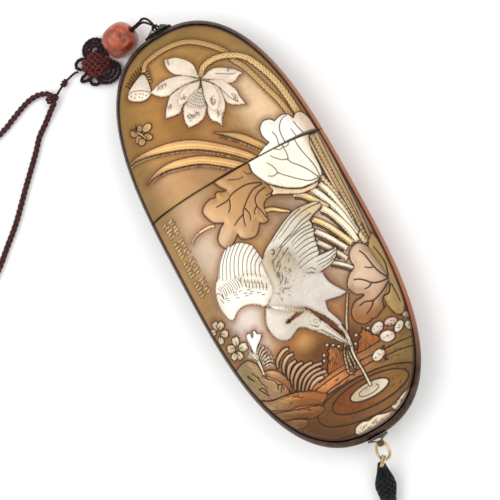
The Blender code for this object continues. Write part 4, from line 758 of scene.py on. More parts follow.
def shore_plant_figures():
    """The plants on the left shore: rocks, flowers, the white sprout, the fern and the copper mounds."""
    marks = cuts([
        (0.34, 0.2, [-24.4, -34.4, -23.9, -35.6, -23.3, -36.6]),
        (0.09, 0.14, [-23.2, -34, -22.3, -35, -21.4, -38.6, -20.6, -40.4]),
        (0.16, 0.22, [-23.3, -39.2, -22.5, -40.6, -21.4, -42.2]),
        (0.12, 0.16, [-22.9, -39.2, -22, -39.6, -21.3, -41.2]),
        (0.12, 0.1, [-20, -36.4, -19, -38.2, -17.6, -39.6, -17.2, -41.4]),
        (0.16, 0.14, [-17.9, -42.2, -17.2, -41, -16.2, -41.6, -16.3, -43]),
        (0.14, 0.14, [-17.4, -43.4, -16.8, -42.2]),
    ])
    marks += flecks(60, -22.0, -37.5, 4.6, 6.0, 60, 1.4, -62, -0.03)
    rock = [-29, -32, -25.8, -30.6, -22.2, -30.3, -20.6, -31.8, -19.7, -33.4, -19.6, -35.4, -17, -38.2,
        -15.4, -41, -14.9, -43.4, -15.6, -44.8, -20.3, -44.1, -22.8, -43.2, -25.6, -41.2, -28.5, -40.2]
    ledge = [-19.8, -35.6, -18, -35.9, -16.4, -36.6, -15, -37.9, -13.4, -41.8, -13.9, -43.6, -14.9, -45,
        -15.3, -42.6, -16.6, -39.8, -18.4, -37.6]
    figures = [
        figure(rock, ["#94805a", "#a78664"], 0.42, fade=((-26.0, -35.0), (-17.5, -41.0)), lines=marks,
               shine=0.3, swell=0.24),
        figure(ledge, ["#b08866", "#97653f"], 0.42, fade=((-18.0, -37.0), (-14.0, -42.0)), ink=0.12,
               shine=0.3),
    ]
    petals = [(-25.8, -16.4, 95, 2.3), (-24.3, -17.3, 20, 2.2), (-27.9, -17.6, 165, 2.0),
              (-24.4, -20.0, -28, 2.3), (-26.6, -21.0, -105, 2.0), (-25.0, -24.7, 160, 2.5),
              (-22.4, -23.6, 78, 2.5), (-21.1, -26.3, -8, 2.7), (-23.5, -27.8, -80, 2.3),
              (-25.3, -27.2, -150, 2.0)]
    for x, y, turn, size in petals:
        a = radians(turn)
        vein = stroke([(x - 0.6 * size * cos(a), y - 0.6 * size * sin(a)), (x, y)], 0.14, 0.04)
        notched = oval(0, 0, 0.64 * size, 0.48 * size, 0, 12)
        notched[0] *= 0.7
        notched = (turned(notched, turn) + (x, y)).tolist()
        figures.append(figure(notched, "#d9c8a4", 0.45, lines=[vein], ink=0.12, shine=0.6, swell=0.2))
    figures.append(ribbon([-18.4, -27.6, -18.9, -30, -19.1, -32.6, -19.5, -36.4], [0.7, 0.6, 0.45, 0.25],
        "#e2d5ba", 0.4, edge=0.2, ink=0.08, shine=0.8))
    for i in range(8):
        a = radians(56 - 10.5 * i)
        x, y = -18.6 + 0.04 * i, -30.4 - 0.58 * i
        reach = 3.2 + 0.9 * sin(pi * i / 7)
        end = (x + reach * cos(a), y + reach * sin(a))
        middle = (0.5 * (x + end[0]) - 0.3 * sin(a), 0.5 * (y + end[1]) + 0.45 * cos(a))
        figures.append(ribbon([(x, y), middle, end], [0.18, 0.3, 0.26], "#f6ead2", 0.46, edge=0.2, swell=0.05,
            ink=0.07, shine=1.0, groove=0.15, halo=0.5))
    for i in range(4):
        figures.append(ribbon([(-21.3 + 0.5 * i, -29.2 + 0.3 * i), (-20.4 + 0.3 * i, -30.6), (-18.8, -32.2)],
            [0.3, 0.28, 0.15], "#e0d0b6", 0.42, edge=0.2, swell=0.05, ink=0.06, shine=0.8, groove=0.1,
            halo=0.4))
    sprout = [-18.6, -24.1, -17.9, -23.6, -17.1, -24, -17.3, -25.4, -16.5, -24.9, -16.5, -23.8, -15.4, -23.9,
        -15.3, -25.1, -14.1, -25.8, -14.7, -26.6, -17.5, -28.7, -18.3, -30, -18.9, -29.4, -18.9, -27.3,
        -18.9, -25.1]
    figures.append(figure(sprout, SILVER, 0.52, ink=0.1, shine=1.0, swell=0.2))
    fronds = [
        [-14.9, -36.9, -13.8, -35, -10.5, -33.3, -9.1, -33.6],
        [-14, -39.3, -13, -37.2, -11.6, -36, -10, -35.4, -8.6, -35.6],
        [-13.6, -41.4, -12.4, -39.1, -11, -37.9, -8.9, -37.6],
        [-13.6, -43.6, -12.4, -41.1, -10.6, -39.6, -9, -39, -7.4, -39.1],
        [-13.4, -44.9, -12, -42.5, -9.6, -40.8, -7, -40.2, -4.9, -40.3],
        [-12.6, -45.6, -10.6, -43.2, -8, -41.9, -5, -41.5, -2.5, -41.9],
        [-11.7, -46.2, -10, -44.3, -8, -43.2, -5.4, -42.8, -3.4, -43.1],
        [-10.8, -46.6, -9, -45.1, -6.5, -44.1, -4, -44.1, -2.5, -44.5],
        [-9.6, -47, -8, -45.9, -6, -45.3, -4, -45.5],
    ]
    for points in fronds:
        figures.append(ribbon(points, [0.3, 0.56, 0.62, 0.58, 0.5], ["#a98765", "#cbab8a"], 0.44,
            fade=(points[:2], points[-2:]), ink=0.17, shine=0.5, groove=0.2))
    mounds = [
        (1.6, [-2.4, -45.5, -1.2, -43, -0.4, -42.4, -0.3, -41.2, 0.6, -40.8, 0.7, -39.6, 1.6, -39.3,
               2.2, -38.4, 2.7, -39.4, 3.6, -39.9, 3.8, -41.1, 4.9, -42.1, 4, -43.4, 3.3, -45.3]),
        (12.0, [8.2, -43.8, 9.4, -42.6, 9.9, -41.3, 10.9, -40.9, 11.2, -39.7, 12.1, -39.5, 12.7, -38.4,
                13.2, -39.6, 14.2, -40.4, 14.3, -41.6, 15.2, -42.2, 15.9, -43.6, 15, -44.1, 8.5, -44.3]),
    ]
    for i, (x, points) in enumerate(mounds):
        scratches = flecks(61 + i, x, -42.2, 2.4, 2.2, 34, 1.3, 60, -0.01)
        figures.append(figure(points, ["#985a30", "#a06a3c"], 0.42, fade=((x, -45.0), (x, -39.0)),
            lines=scratches, ink=0.15, shine=0.35, swell=0.22))
    beads = [(-1.6, -41.6), (-0.9, -40.2), (1.4, -38.0), (2.9, -38.9), (4.2, -40.0), (10.2, -39.5),
             (14.2, -39.3), (8.8, -41.6)]
    for x, y in beads:
        figures.append(figure(oval(x, y, 0.5, 0.46, 0, 14), "#dccbb0", 0.48, shine=0.8))
    return figures


def mark_figures():
    """Four blocks of short raised strokes down the left side, in plain rows. They spell nothing."""
    figures = []
    for row in range(20):
        y = 17.4 - 1.08 * row - 1.2 * (row // 5)
        split = -23.7 + 0.5 * ((row * 2) % 5 - 2) / 2
        for start, end in ((-25.7, split - 0.35), (split + 0.35, -21.9 + 0.3 * (row % 2))):
            figures.append(ribbon([(start, y - 0.2), (end, y + 0.05)], [0.2, 0.27, 0.2], "#f2dcaa", 0.34,
                edge=0.18, swell=0.03, ink=0.03, groove=0.06, shine=0.8, halo=0.25))
    return figures


def body_picture():
    """Everything on the body, from the back of the picture to its front."""
    figures = water_figures()
    figures += bank_figures()
    figures += shore_plant_figures()
    figures += stem_figures()
    figures += right_leaf_figures()
    figures += leaf_figures()
    figures += left_wing_figures()
    figures += right_wing_figures()
    figures += egret_leg_figures()
    figures += egret_body_figures()
    figures += mark_figures()
    return figures


# The carving, worked out at many points at once


def nearest_on(x, y, line, closed):
    """From each point: distance to a line, the nearest place, how far along its piece, inside or not."""
    start = line if closed else line[:-1]
    end = np.roll(line, -1, axis=0) if closed else line[1:]
    ax, ay = start[:, 0], start[:, 1]
    dx, dy = end[:, 0] - ax, end[:, 1] - ay
    length = np.maximum(dx * dx + dy * dy, 1e-12)
    px = x[:, None]
    py = y[:, None]
    t = np.clip(((px - ax) * dx + (py - ay) * dy) / length, 0, 1)
    qx = ax + t * dx
    qy = ay + t * dy
    gap = (px - qx) ** 2 + (py - qy) ** 2
    best = gap.argmin(1)
    rows = np.arange(len(x))
    inside = None
    if closed:
        safe = np.where(np.abs(dy) < 1e-12, 1e-12, dy)
        crossing = ((ay > py) != (end[:, 1] > py)) & (px < ax + (py - ay) * dx / safe)
        inside = crossing.sum(1) % 2 == 1
    return np.sqrt(gap[rows, best]), qx[rows, best], qy[rows, best], best, t[rows, best], inside


class Carving:
    """The picture on one plate at given points of the drawing: height, metal, ink and what is near."""

    def __init__(self, x, y, ground):
        self.x = x
        self.y = y
        self.height = np.zeros_like(x)
        self.colour = ground.copy()
        self.ink = np.full_like(x, -FAR)
        self.near = np.full_like(x, FAR)
        self.shine = np.zeros_like(x)
        self.snap = np.full_like(x, FAR)
        self.snap_x = x.copy()
        self.snap_y = y.copy()

    def within(self, line, margin):
        low = line.min(0) - margin
        high = line.max(0) + margin
        hit = (self.x > low[0]) & (self.x < high[0]) & (self.y > low[1]) & (self.y < high[1])
        return np.flatnonzero(hit)

    def pull(self, where, distance, qx, qy):
        """Notes the nearest drawn line, so that the mesh can be laid along it."""
        closer = distance < self.snap[where]
        chosen = where[closer]
        self.snap[chosen] = distance[closer]
        self.snap_x[chosen] = qx[closer]
        self.snap_y[chosen] = qy[closer]

    def add(self, item):
        outline = item["outline"]
        where = self.within(outline, DIRT_AND_SHADE_REACH * max(item["halo"], 1.0))
        if not len(where):
            return
        x, y = self.x[where], self.y[where]
        distance, qx, qy, _, _, inside = nearest_on(x, y, outline, True)
        depth = np.where(inside, distance, -distance)
        top = item["height"] + item["swell"] * (smooth_step(depth / RELIEF_REACH) - 0.5)
        if not item["painted"]:
            self.engrave(where[inside], item["lines"])
            return
        height = self.height[where]
        height = np.where(inside, height + (top - height) * smooth_step(depth / item["edge"]), height)
        groove = np.clip(1 - np.abs(depth + 0.1) / 0.26, 0, 1)
        height -= item["groove"] * groove * groove
        self.height[where] = height
        colour = item["colours"][0]
        if len(item["colours"]) > 1:
            a = np.reshape(item["fade"], (2, 2))
            along = a[1] - a[0]
            share = (x - a[0, 0]) * along[0] + (y - a[0, 1]) * along[1]
            share = smooth_step(share / (along @ along))[:, None]
            colour = item["colours"][0] * (1 - share) + item["colours"][1] * share
        self.colour[where] = np.where(inside[:, None], colour, self.colour[where])
        self.shine[where] = np.where(inside, item["shine"], self.shine[where])
        ink = np.where(inside, np.minimum(self.ink[where], -depth), self.ink[where])
        self.ink[where] = np.maximum(ink, item["ink"] - np.abs(depth + 0.06))
        # beside a figure the ground gets a veil, part grime and part painted shade
        self.near[where] = np.where(inside, 6 * depth, np.minimum(self.near[where], distance / item["halo"]))
        self.snap[where] = np.where(inside, FAR, self.snap[where])
        self.pull(where, distance, qx, qy)
        self.engrave(where[inside], item["lines"])

    def engrave(self, where, lines):
        for line, first, last in lines:
            low = line.min(0) - LINE_REACH
            high = line.max(0) + LINE_REACH
            x, y = self.x[where], self.y[where]
            hit = (x > low[0]) & (x < high[0]) & (y > low[1]) & (y < high[1])
            spots = where[hit]
            if not len(spots):
                continue
            distance, qx, qy, piece, t, _ = nearest_on(x[hit], y[hit], line, False)
            width = SHOW + first + (last - first) * (piece + t) / (len(line) - 1)
            self.ink[spots] = np.maximum(self.ink[spots], width - distance)
            cut = np.clip(1 - distance / (width + 0.2), 0, 1)
            self.height[spots] -= (0.06 + 0.45 * width) * cut * cut
            self.pull(spots, distance, qx, qy)


def ground_tone_and_painted_sheen(x, y, base, spots):
    """The brass ground's colour: one tone with soft broad areas of others. Some of these are painted
    reflections of the lights.
    """
    total = np.ones_like(x)[:, None]
    colour = np.array(linear(base)[:3])[None] * total
    for tone, sx, sy, rx, ry in spots:
        weight = 3.0 * np.exp(-((x - sx) / rx) ** 2 - ((y - sy) / ry) ** 2)[:, None]
        colour = colour + weight * np.array(linear(tone)[:3])
        total = total + weight
    return colour / total


# on the lid the pale cream area at the right, at (17, 37), and the pinkish ones left of the middle by the
# seam, at (-18, 27) and (-7, 24), are painted reflections of the lights; the others are tone differences
LID_GROUND_AND_PAINTED_SHEEN = ("#9c7e48", [
    ("#9e7240", -8, 48, 12, 9), ("#6c4722", -5, 40, 9, 5), ("#efcfa9", 17, 37, 5, 10),
    ("#a67f62", -18, 27, 6, 5), ("#926c52", -7, 24, 7, 4), ("#dcac66", -3, 58, 8, 5),
    ("#b78c56", 12, 58, 5, 5), ("#ad7f52", 5, 33, 6, 7)])
# on the body the pale pinkish grey areas at the left, at (-17, -20), (-16, 14) and (-17, 3), are painted
# reflections of the lights, and the bright orange one at (-3.8, -34.5) is a painted highlight
BODY_GROUND_AND_PAINTED_SHEEN = ("#8c7048", [
    ("#c2b8b2", -17, -20, 4.6, 8.6), ("#a88a72", -16, 14, 6, 5), ("#b5a292", -17, 3, 5, 6),
    ("#e0a868", -3.8, -34.5, 2.6, 2.2), ("#7d4e2c", -4, -36, 8, 4), ("#1a0c04", -0.4, -39.9, 7.5, 3.4),
    ("#d2c6bc", 16, -10, 8, 10), ("#b09474", 3, 3, 5, 4), ("#b48e5e", -2, -3, 3, 2),
    ("#bd8a60", 9.6, -30, 3, 4), ("#1c0e06", 8.8, -40.4, 2.2, 2.8), ("#b0906c", 13, -22, 3, 4),
    ("#b8925f", -26, 0, 3, 20)])


def mesh_object(name, vertices, faces, smooth=True):
    """A mesh object from arrays, given in millimetres."""
    data = bpy.data.meshes.new(name)
    data.from_pydata((np.asarray(vertices) * MM).tolist(), [], faces)
    data.update()
    if smooth:
        data.shade_smooth()
    thing = bpy.data.objects.new(name, data)
    bpy.context.scene.collection.objects.link(thing)
    return thing


def grid_faces(rows, columns, flip, wrap=False, first=0):
    """Quads over a grid of points laid out row by row."""
    faces = []
    across = columns if wrap else columns - 1
    for r in range(rows - 1):
        for c in range(across):
            d = (c + 1) % columns
            quad = (first + r * columns + c, first + r * columns + d, first + (r + 1) * columns + d,
                    first + (r + 1) * columns + c)
            faces.append(quad[::-1] if flip else quad)
    return faces


def face_outwards(piece):
    """Turns a piece's faces to point out. Its lowest one then looks down."""
    clean = bmesh.new()
    clean.from_mesh(piece.data)
    bmesh.ops.recalc_face_normals(clean, faces=clean.faces)
    lowest = min(clean.faces, key=lambda face: face.calc_center_median().z)
    if lowest.normal.z > 0:
        bmesh.ops.reverse_faces(clean, faces=clean.faces)
    clean.to_mesh(piece.data)
    clean.free()


def front_plate(name, figures, ground, on_lid, row_step, columns):
    """A chased front plate. Its fine mesh is laid along the drawn lines, and its back is plain."""
    sign = 1 if on_lid else -1
    cut_y = SEAM_Y + sign * JOINT_GAP / 2
    end_y = HALF_LENGTH * (PLATE_LEVEL - (1.2 / HALF_WIDTH) ** WIDTH_POWER) ** (1 / LENGTH_POWER)
    length = end_y - sign * cut_y
    rows = int(length / row_step)
    u = np.linspace(1, 0, rows)
    # the rows lie closer together towards the case's end
    y_row = sign * (end_y - length * 1.03 * u * u / (u + 0.03))
    y_row[0] = cut_y
    x = (reach_at(y_row, PLATE_LEVEL)[:, None] * np.linspace(-1, 1, columns)[None]).ravel()
    y = np.repeat(y_row, columns)
    drawn_x = (x - DRAWN_SHIFT_X) / DRAWN_SCALE_X
    drawn_y = y - DRAWN_SHIFT_Y

    def carve(px, py):
        carving = Carving(px, py, ground_tone_and_painted_sheen(px, py, *ground))
        for item in figures:
            carving.add(item)
        return carving

    carving = carve(drawn_x, drawn_y)
    cell_x = np.repeat(2 * reach_at(y_row, PLATE_LEVEL) / (columns - 1), columns)
    cell_y = np.repeat(np.abs(np.gradient(y_row)), columns)
    rim = np.zeros((rows, columns), bool)
    rim[0] = rim[-1] = True
    rim[:, 0] = rim[:, -1] = True
    # points less than about half a cell from a drawn line move onto it
    moved = (carving.snap < 0.46 * np.minimum(cell_x, cell_y)) & ~rim.ravel()
    drawn_x = np.where(moved, carving.snap_x, drawn_x)
    drawn_y = np.where(moved, carving.snap_y, drawn_y)
    carving = carve(drawn_x, drawn_y)
    x = drawn_x * DRAWN_SCALE_X + DRAWN_SHIFT_X
    y = drawn_y + DRAWN_SHIFT_Y
    to_seam = sign * (y - cut_y)
    # near the rim, one step of the plan's level is about this many millimetres
    to_rim = (PLATE_LEVEL - level(x, y)) * 13.0
    height = carving.height * smooth_step(to_rim / PLAIN_RIM) * smooth_step(to_seam / LIP_WIDTH + 0.15)
    lip = LIP_DROP * (1 - smooth_step(np.minimum(to_rim / LIP_WIDTH, to_seam / JOINT_GAP)))
    # the joint is drawn wide and black at the right edge, as painted shadow cast by the lid's edge, and dark
    # left of its middle and a little at the left edge
    worn = 0.5 * smooth_step((x - 15) / 11) + 0.25 * smooth_step((-x - 18) / 8)
    worn += 0.3 * np.exp(-((x + 1) / 4.5) ** 2)
    # the joint's dark and the rim's dark edge go into the ink; at the joint's right edge it is painted shadow
    dirt_and_painted_shade = np.maximum(worn - to_seam, 0.36 - to_rim)
    carving.ink = np.maximum(carving.ink, 0.4 * dirt_and_painted_shade)
    carving.near = np.minimum(carving.near, 0.8 + 1.2 * to_rim)
    z = MID_HEIGHT + bulge(x, y) + height - lip
    top = np.stack([x, y, z], 1)
    index = np.arange(rows * columns).reshape(rows, columns)
    loop = np.concatenate([index[0], index[1:, -1], index[-1, -2::-1], index[-2:0:-1, 0]])
    if not on_lid:
        loop = loop[::-1]
    border = top[loop]
    under = border.copy()
    mouth = np.abs(border[:, 1] - cut_y) < 0.01
    powers = np.array([WIDTH_POWER, LENGTH_POWER])
    slope = border[:, :2] * powers * np.abs(border[:, :2]) ** (powers - 2)
    slope /= np.array([HALF_WIDTH, HALF_LENGTH]) ** powers
    slope[mouth, 1] = 0
    under[:, :2] -= unit(slope) * RIM_INSET
    under[mouth, 0] = border[mouth, 0] * (1 - RIM_INSET / np.abs(border[mouth, 0]).max())
    under[mouth, 1] = cut_y
    under[:, 2] = MID_HEIGHT + bulge(border[:, 0], border[:, 1]) - RIM_DEPTH
    inner_points = [(px, py) for px in np.arange(-27, 28, 3.0) for py in np.arange(-66, 67, 3.0)
                    if level(px, py) < PLATE_LEVEL - 0.09 and sign * (py - cut_y) > 1.5]
    flat = [Vector(p[:2]) for p in under] + [Vector(p) for p in inner_points]
    low_points, _, low_faces, _, _, _ = delaunay_2d_cdt(flat, ring_pairs(len(under)), [], 1, 0.0001)
    low = np.array([(p.x, p.y, 0.0) for p in low_points])
    low[:, 2] = MID_HEIGHT + bulge(low[:, 0], low[:, 1]) - WALL
    low[:len(under)] = under
    first = len(top)
    faces = grid_faces(rows, columns, not on_lid)
    faces += [(int(loop[i]), first + i, first + j, int(loop[j])) for i, j in ring_pairs(len(loop))]
    faces += [tuple(first + i for i in reversed(face)) for face in low_faces]
    plate = mesh_object(name, np.concatenate([top, low]), faces)
    fields = plate.data.attributes
    colours = np.ones((len(top) + len(low), 4), np.float32)
    colours[:, :3] = np.concatenate([carving.colour, ground_tone_and_painted_sheen(low[:, 0], low[:, 1], *ground)])
    fields.new("metal", "FLOAT_COLOR", "POINT").data.foreach_set("color", colours.ravel())
    for field, values, fill in (("ink", carving.ink, -FAR), ("near", carving.near, FAR),
                                ("shine", carving.shine, 0.0)):
        numbers = np.concatenate([values, np.full(len(low), fill)]).astype(np.float32)
        fields.new(field, "FLOAT", "POINT").data.foreach_set("value", numbers)
    plate.data.set_sharp_from_angle(angle=radians(60))
    return plate


def back_shell(name, on_lid, columns=150):
    """The smooth back and sides of one half, with its wall and a rolled edge at the mouth."""
    sign = 1 if on_lid else -1
    cut_y = SEAM_Y + sign * JOINT_GAP / 2
    flat_level = 1 - (MID_HEIGHT / HALF_DEPTH) ** (1 / BULGE_POWER)
    upper = [(SHELL_LEVEL + (1 - SHELL_LEVEL) * sin(pi / 2 * i / 8), 1) for i in range(9)]
    lower = [(1 - (1 - flat_level) * (i / 30) ** 1.8, -1) for i in range(1, 31)]
    rings = []
    for plan_level, side in upper + lower:
        unit_y = cut_y / HALF_LENGTH
        unit_x = (plan_level - abs(unit_y) ** LENGTH_POWER) ** (1 / WIDTH_POWER)
        start = atan2(unit_y, unit_x)
        end = pi - start - (0 if on_lid else 2 * pi)
        x, y = plan_points(np.linspace(start, end, columns), plan_level)
        y[0] = y[-1] = cut_y
        z = np.full(columns, MID_HEIGHT + side * HALF_DEPTH * (1 - plan_level) ** BULGE_POWER)
        rings.append(np.stack([x, y, z], 1))
    faces = grid_faces(len(rings), columns, on_lid)
    last = (len(rings) - 1) * columns
    for i in range((columns - 1) // 2):
        j = columns - 1 - i
        corners = (last + i, last + i + 1, last + j - 1, last + j)
        faces.append(corners[::-1] if on_lid else corners)
    shell = mesh_object(name, np.concatenate(rings), faces)
    face_outwards(shell)
    shell.data.shade_smooth()
    wall = shell.modifiers.new("wall", "SOLIDIFY")
    wall.thickness = WALL * MM
    wall.offset = -1
    soft = shell.modifiers.new("rolled_edge", "BEVEL")
    soft.width = 0.12 * MM
    soft.segments = 2
    soft.limit_method = "ANGLE"
    soft.angle_limit = radians(50)
    return shell


# Threads and cords


def smooth_path(points, steps):
    """Points read from a smooth curve through the chosen ones."""
    p = np.array([tuple(point) for point in points], float)
    p = np.concatenate([p[:1], p, p[-1:]])
    t = np.arange(steps)[:, None] / steps
    path = []
    for a, b, c, d in zip(p, p[1:], p[2:], p[3:]):
        bend = (2 * a - 5 * b + 4 * c - d) * t ** 2 + (3 * b - a - 3 * c + d) * t ** 3
        path.append((2 * b + (c - a) * t + bend) / 2)
    return np.concatenate([*path, p[-1:]])


def resample(path, step, closed=False):
    """The same path with evenly spaced points."""
    points = np.array(path, float)
    if closed:
        return spaced(np.concatenate([points, points[:1]]), step=step)[:-1]
    return spaced(points, step=step)


def around(first, second, angle):
    """Directions across a path, at an angle for each of its points."""
    return first * np.cos(angle)[:, None] + second * np.sin(angle)[:, None]


def frames_along(points, closed=False):
    """Two directions across a path at each of its points, turned as little as possible."""
    after = np.roll(points, -1, axis=0)
    before = np.roll(points, 1, axis=0)
    if not closed:
        after[-1] = points[-1]
        before[0] = points[0]
    tangent = unit(after - before)
    current = np.array([0.0, 0.0, 1.0])
    if abs(tangent[0] @ current) > 0.9:
        current = np.array([1.0, 0.0, 0.0])
    first = []
    for way in tangent:
        current = current - way * (current @ way)
        current = current / np.linalg.norm(current)
        first.append(current)
    first = np.array(first)
    second = np.cross(tangent, first)
    if closed:
        gap = atan2(first[-1] @ second[0], first[-1] @ first[0])
        turn = -gap * np.arange(len(points)) / len(points)
        first, second = around(first, second, turn), around(second, -first, turn)
    return first, second


def thread_tube(points, radius, sides=6, closed=False):
    """Vertices and faces of a thread along points. Radius is one number or one for each point."""
    first, second = frames_along(points, closed)
    a = np.arange(sides) * 2 * pi / sides
    radius = np.broadcast_to(np.asarray(radius, float), (len(points),))[:, None, None]
    ring = first[:, None] * np.cos(a)[None, :, None] + second[:, None] * np.sin(a)[None, :, None]
    vertices = (points[:, None] + ring * radius).reshape(-1, 3)
    rows = len(points)
    faces = grid_faces(rows, sides, False, wrap=True)
    if closed:
        last = (rows - 1) * sides
        faces += [(last + i, last + j, j, i) for i, j in ring_pairs(sides)]
    else:
        faces.append(tuple(reversed(range(sides))))
        faces.append(tuple((rows - 1) * sides + i for i in range(sides)))
    return vertices, faces


def thread_object(name, threads):
    """Several thread tubes as one object."""
    vertices = []
    faces = []
    count = 0
    for tube_vertices, tube_faces in threads:
        vertices.append(tube_vertices)
        faces += [tuple(i + count for i in face) for face in tube_faces]
        count += len(tube_vertices)
    return mesh_object(name, np.concatenate(vertices), faces)


def plied(path, radius, plies, pitch, step=0.3, closed=False, sides=5):
    """A cord of plies twisted round each other. Returns its threads."""
    line = resample(path, step, closed)
    first, second = frames_along(line, closed)
    along = np.arange(len(line)) * step
    if closed:
        turns = max(1, round(len(line) * step / pitch))
        along = np.arange(len(line)) * turns * pitch / len(line)
    thread = radius / (1 + 1 / sin(pi / plies)) * 1.12
    centre = radius - thread
    threads = []
    for k in range(plies):
        a = 2 * pi * (along / pitch + k / plies)
        threads.append(thread_tube(line + centre * around(first, second, a), thread, sides, closed))
    return threads


def plaited(path, radius, pitch, step=0.3):
    """A plait of three strands. Each swings from side to side and passes over and under."""
    line = resample(path, step)
    first, second = frames_along(line)
    threads = []
    for k in range(3):
        a = 2 * pi * (np.arange(len(line)) * step / pitch + k / 3)
        swing = 0.5 * radius * np.sin(a)[:, None]
        rise = 0.36 * radius * np.sin(2 * a)[:, None]
        threads.append(thread_tube(line + second * swing + first * rise, 0.46 * radius, 8))
    return threads


def ring_round(middle, radius, way, count=40):
    """Points of a circle about a direction."""
    axis = Vector(way).normalized()
    first = axis.orthogonal().normalized()
    second = axis.cross(first)
    turns = [2 * pi * i / count for i in range(count)]
    return np.array([tuple(Vector(middle) + radius * (first * cos(a) + second * sin(a))) for a in turns])


# The camera, as it looked down on the case


def camera():
    """Looks down from a little to the right and below, and is rolled."""
    back_x = sin(radians(LEAN_SIDEWAYS))
    back_y = -sin(radians(LEAN_DOWN))
    back = Vector((back_x, back_y, sqrt(1 - back_x ** 2 - back_y ** 2)))
    level_up = (Vector((0, 1, 0)) - back * back.y).normalized()
    level_right = level_up.cross(back)
    roll = radians(ROLL)
    up = cos(roll) * level_up + sin(roll) * level_right
    right = cos(roll) * level_right - sin(roll) * level_up
    lens = bpy.data.cameras.new("view")
    lens.sensor_width = 36
    lens.lens = FOCAL_PIXELS / PICTURE * lens.sensor_width
    lens.shift_x = (PICTURE / 2 - CASE_MIDDLE_PIXEL[0]) / PICTURE
    lens.shift_y = (CASE_MIDDLE_PIXEL[1] - PICTURE / 2) / PICTURE
    lens.clip_start = 0.01
    eye = bpy.data.objects.new("view", lens)
    place = (Vector((0, 0, MID_HEIGHT)) + back * LENS_DISTANCE) * MM
    axes = Matrix((right, up, back)).transposed().to_4x4()
    eye.matrix_world = Matrix.Translation(place) @ axes
    bpy.context.scene.collection.objects.link(eye)
    bpy.context.scene.camera = eye


# The cord, the strap, the knots and the bead

LUG_HOLE_PLACE = Vector((0.0, 71.6, 11.2))
JOIN_PLACE = Vector((-4.4, 76.9, 7.9))
BEAD_PLACE = Vector((-12.1, 76.2, 5.6))
BEAD_RADIUS = 5.5
KNOT_PLACE = Vector((-22.8, 74.3, 2.3))
WRAP_PLACE = Vector((-40.4, 71.9, 2.45))


def strap_points():
    """The strap's route, as the source has it: out of the wrap, round its loop and back."""
    x, y, z = WRAP_PLACE
    low = STRAP_RADIUS + 0.2
    flat = [-44.3, 75.7, -47.4, 75.6, -50.8, 74.6, -54.6, 73.1, -57.9, 71.7, -61.4, 70.7, -67, 69.6, -74, 68,
        -82, 64.6, -89.5, 59, -95.2, 51.6, -97.6, 43, -96.2, 34.6, -91.4, 29.6, -85.8, 29.6, -80.5, 33.1,
        -75.1, 37.8, -69.6, 42.6, -64.8, 47.6, -60.6, 52.1, -56, 56.8, -52.6, 60.4, -49.8, 63.6, -46.2, 66.3]
    loop = [(flat[i], flat[i + 1], low) for i in range(0, len(flat), 2)]
    return [(x, y + 0.15, z), (x - 0.1, y + 1.6, z - 0.3), (-41.8, 74.7, low + 0.5), *loop,
            (-42.9, 68.8, low + 0.5), (x - 0.2, y - 1.5, z - 0.2), (x, y - 0.15, z)]


def strap():
    """The plaited strap."""
    return thread_object("strap", plaited(smooth_path(strap_points(), 8), STRAP_RADIUS, 5.2))


def hanger():
    """The thin cord: laid double from the bead through the lug, then led on to the knot."""
    lug = LUG_HOLE_PLACE
    way = (JOIN_PLACE - BEAD_PLACE).normalized()
    beside = Vector((0.35, 0.3, 0.95)) * (THIN_CORD + 0.06)
    route = [BEAD_PLACE + beside, JOIN_PLACE + beside, (-2.4, lug.y + 5.0, 11.0), (-0.9, lug.y + 3.4, 13.55),
             (-0.1, lug.y + 1.5, 13.55), (0.0, lug.y, 12.2), (0.0, lug.y, 10.2), (-0.3, lug.y + 1.7, 8.95),
             (-1.5, lug.y + 3.4, 8.75), (-2.8, lug.y + 4.8, 8.3), JOIN_PLACE - beside, BEAD_PLACE - beside,
             BEAD_PLACE - way * (BEAD_RADIUS + 0.6), KNOT_PLACE + Vector((4.8, 0.3, 0.2))]
    return thread_object("hanger", plied(smooth_path(route, 8), THIN_CORD, 2, 1.7))


def knot_pad():
    """The woven middle of the flat knot: one cord led to and fro each way, over and under."""
    spacing = 1.4
    runs = 5
    reach = 3.2
    threads = []
    for across in (False, True):
        points = []
        for k in range(runs):
            side = (k - (runs - 1) / 2) * spacing
            way = 1 if k % 2 == 0 else -1
            for i in range(33):
                u = way * reach * (i / 16 - 1)
                rise = 0.5 * cos(pi * u / spacing + pi * k) * (-1 if across else 1)
                points.append((u, side, rise))
            if k < runs - 1:
                for i in range(1, 6):
                    a = -pi / 2 + pi * i / 6
                    points.append((way * (reach + 0.8 * cos(a)), side + spacing / 2 * (1 + sin(a)), 0.0))
        placed = []
        for u, v, rise in points:
            x, y = (v, u) if across else (u, v)
            dome = 0.75 - 0.06 * (x * x + y * y)
            spot = Vector((x * 0.94 - y * 0.34, x * 0.34 + y * 0.94, max(rise + dome, -1.35)))
            placed.append(tuple(KNOT_PLACE + spot))
        threads += plied(placed, 0.66, 3, 2.4, step=0.35, sides=5)
    return thread_object("knot_pad", threads)


def knot_loops():
    """The ears of the knot: dark cord laid in rings beside each other."""
    ears = [(1.6, 4.6, 3.7, 3.5, 1.75), (1.6, 4.5, 2.6, 2.4, 2.1), (1.6, 4.4, 1.5, 1.3, 2.3),
            (2.0, -3.9, 4.0, 3.2, 1.6), (2.0, -3.8, 2.9, 2.1, 2.0), (2.0, -3.7, 1.8, 1.0, 2.2),
            (-4.3, 2.8, 1.9, 1.6, 1.4), (-4.0, -1.6, 2.8, 1.0, 1.3), (-2.4, -3.7, 2.0, 1.7, 1.2)]
    threads = []
    for i, (dx, dy, rx, ry, z) in enumerate(ears):
        flat = oval(KNOT_PLACE.x + dx, KNOT_PLACE.y + dy, rx, ry, 7.0 * (i % 3), 48)
        points = np.concatenate([flat, np.full((48, 1), z)], 1)
        threads += plied(points, 1.2 * KNOT_CORD, 3, 4.0, step=0.3, closed=True)
    return thread_object("knot_loops", threads)


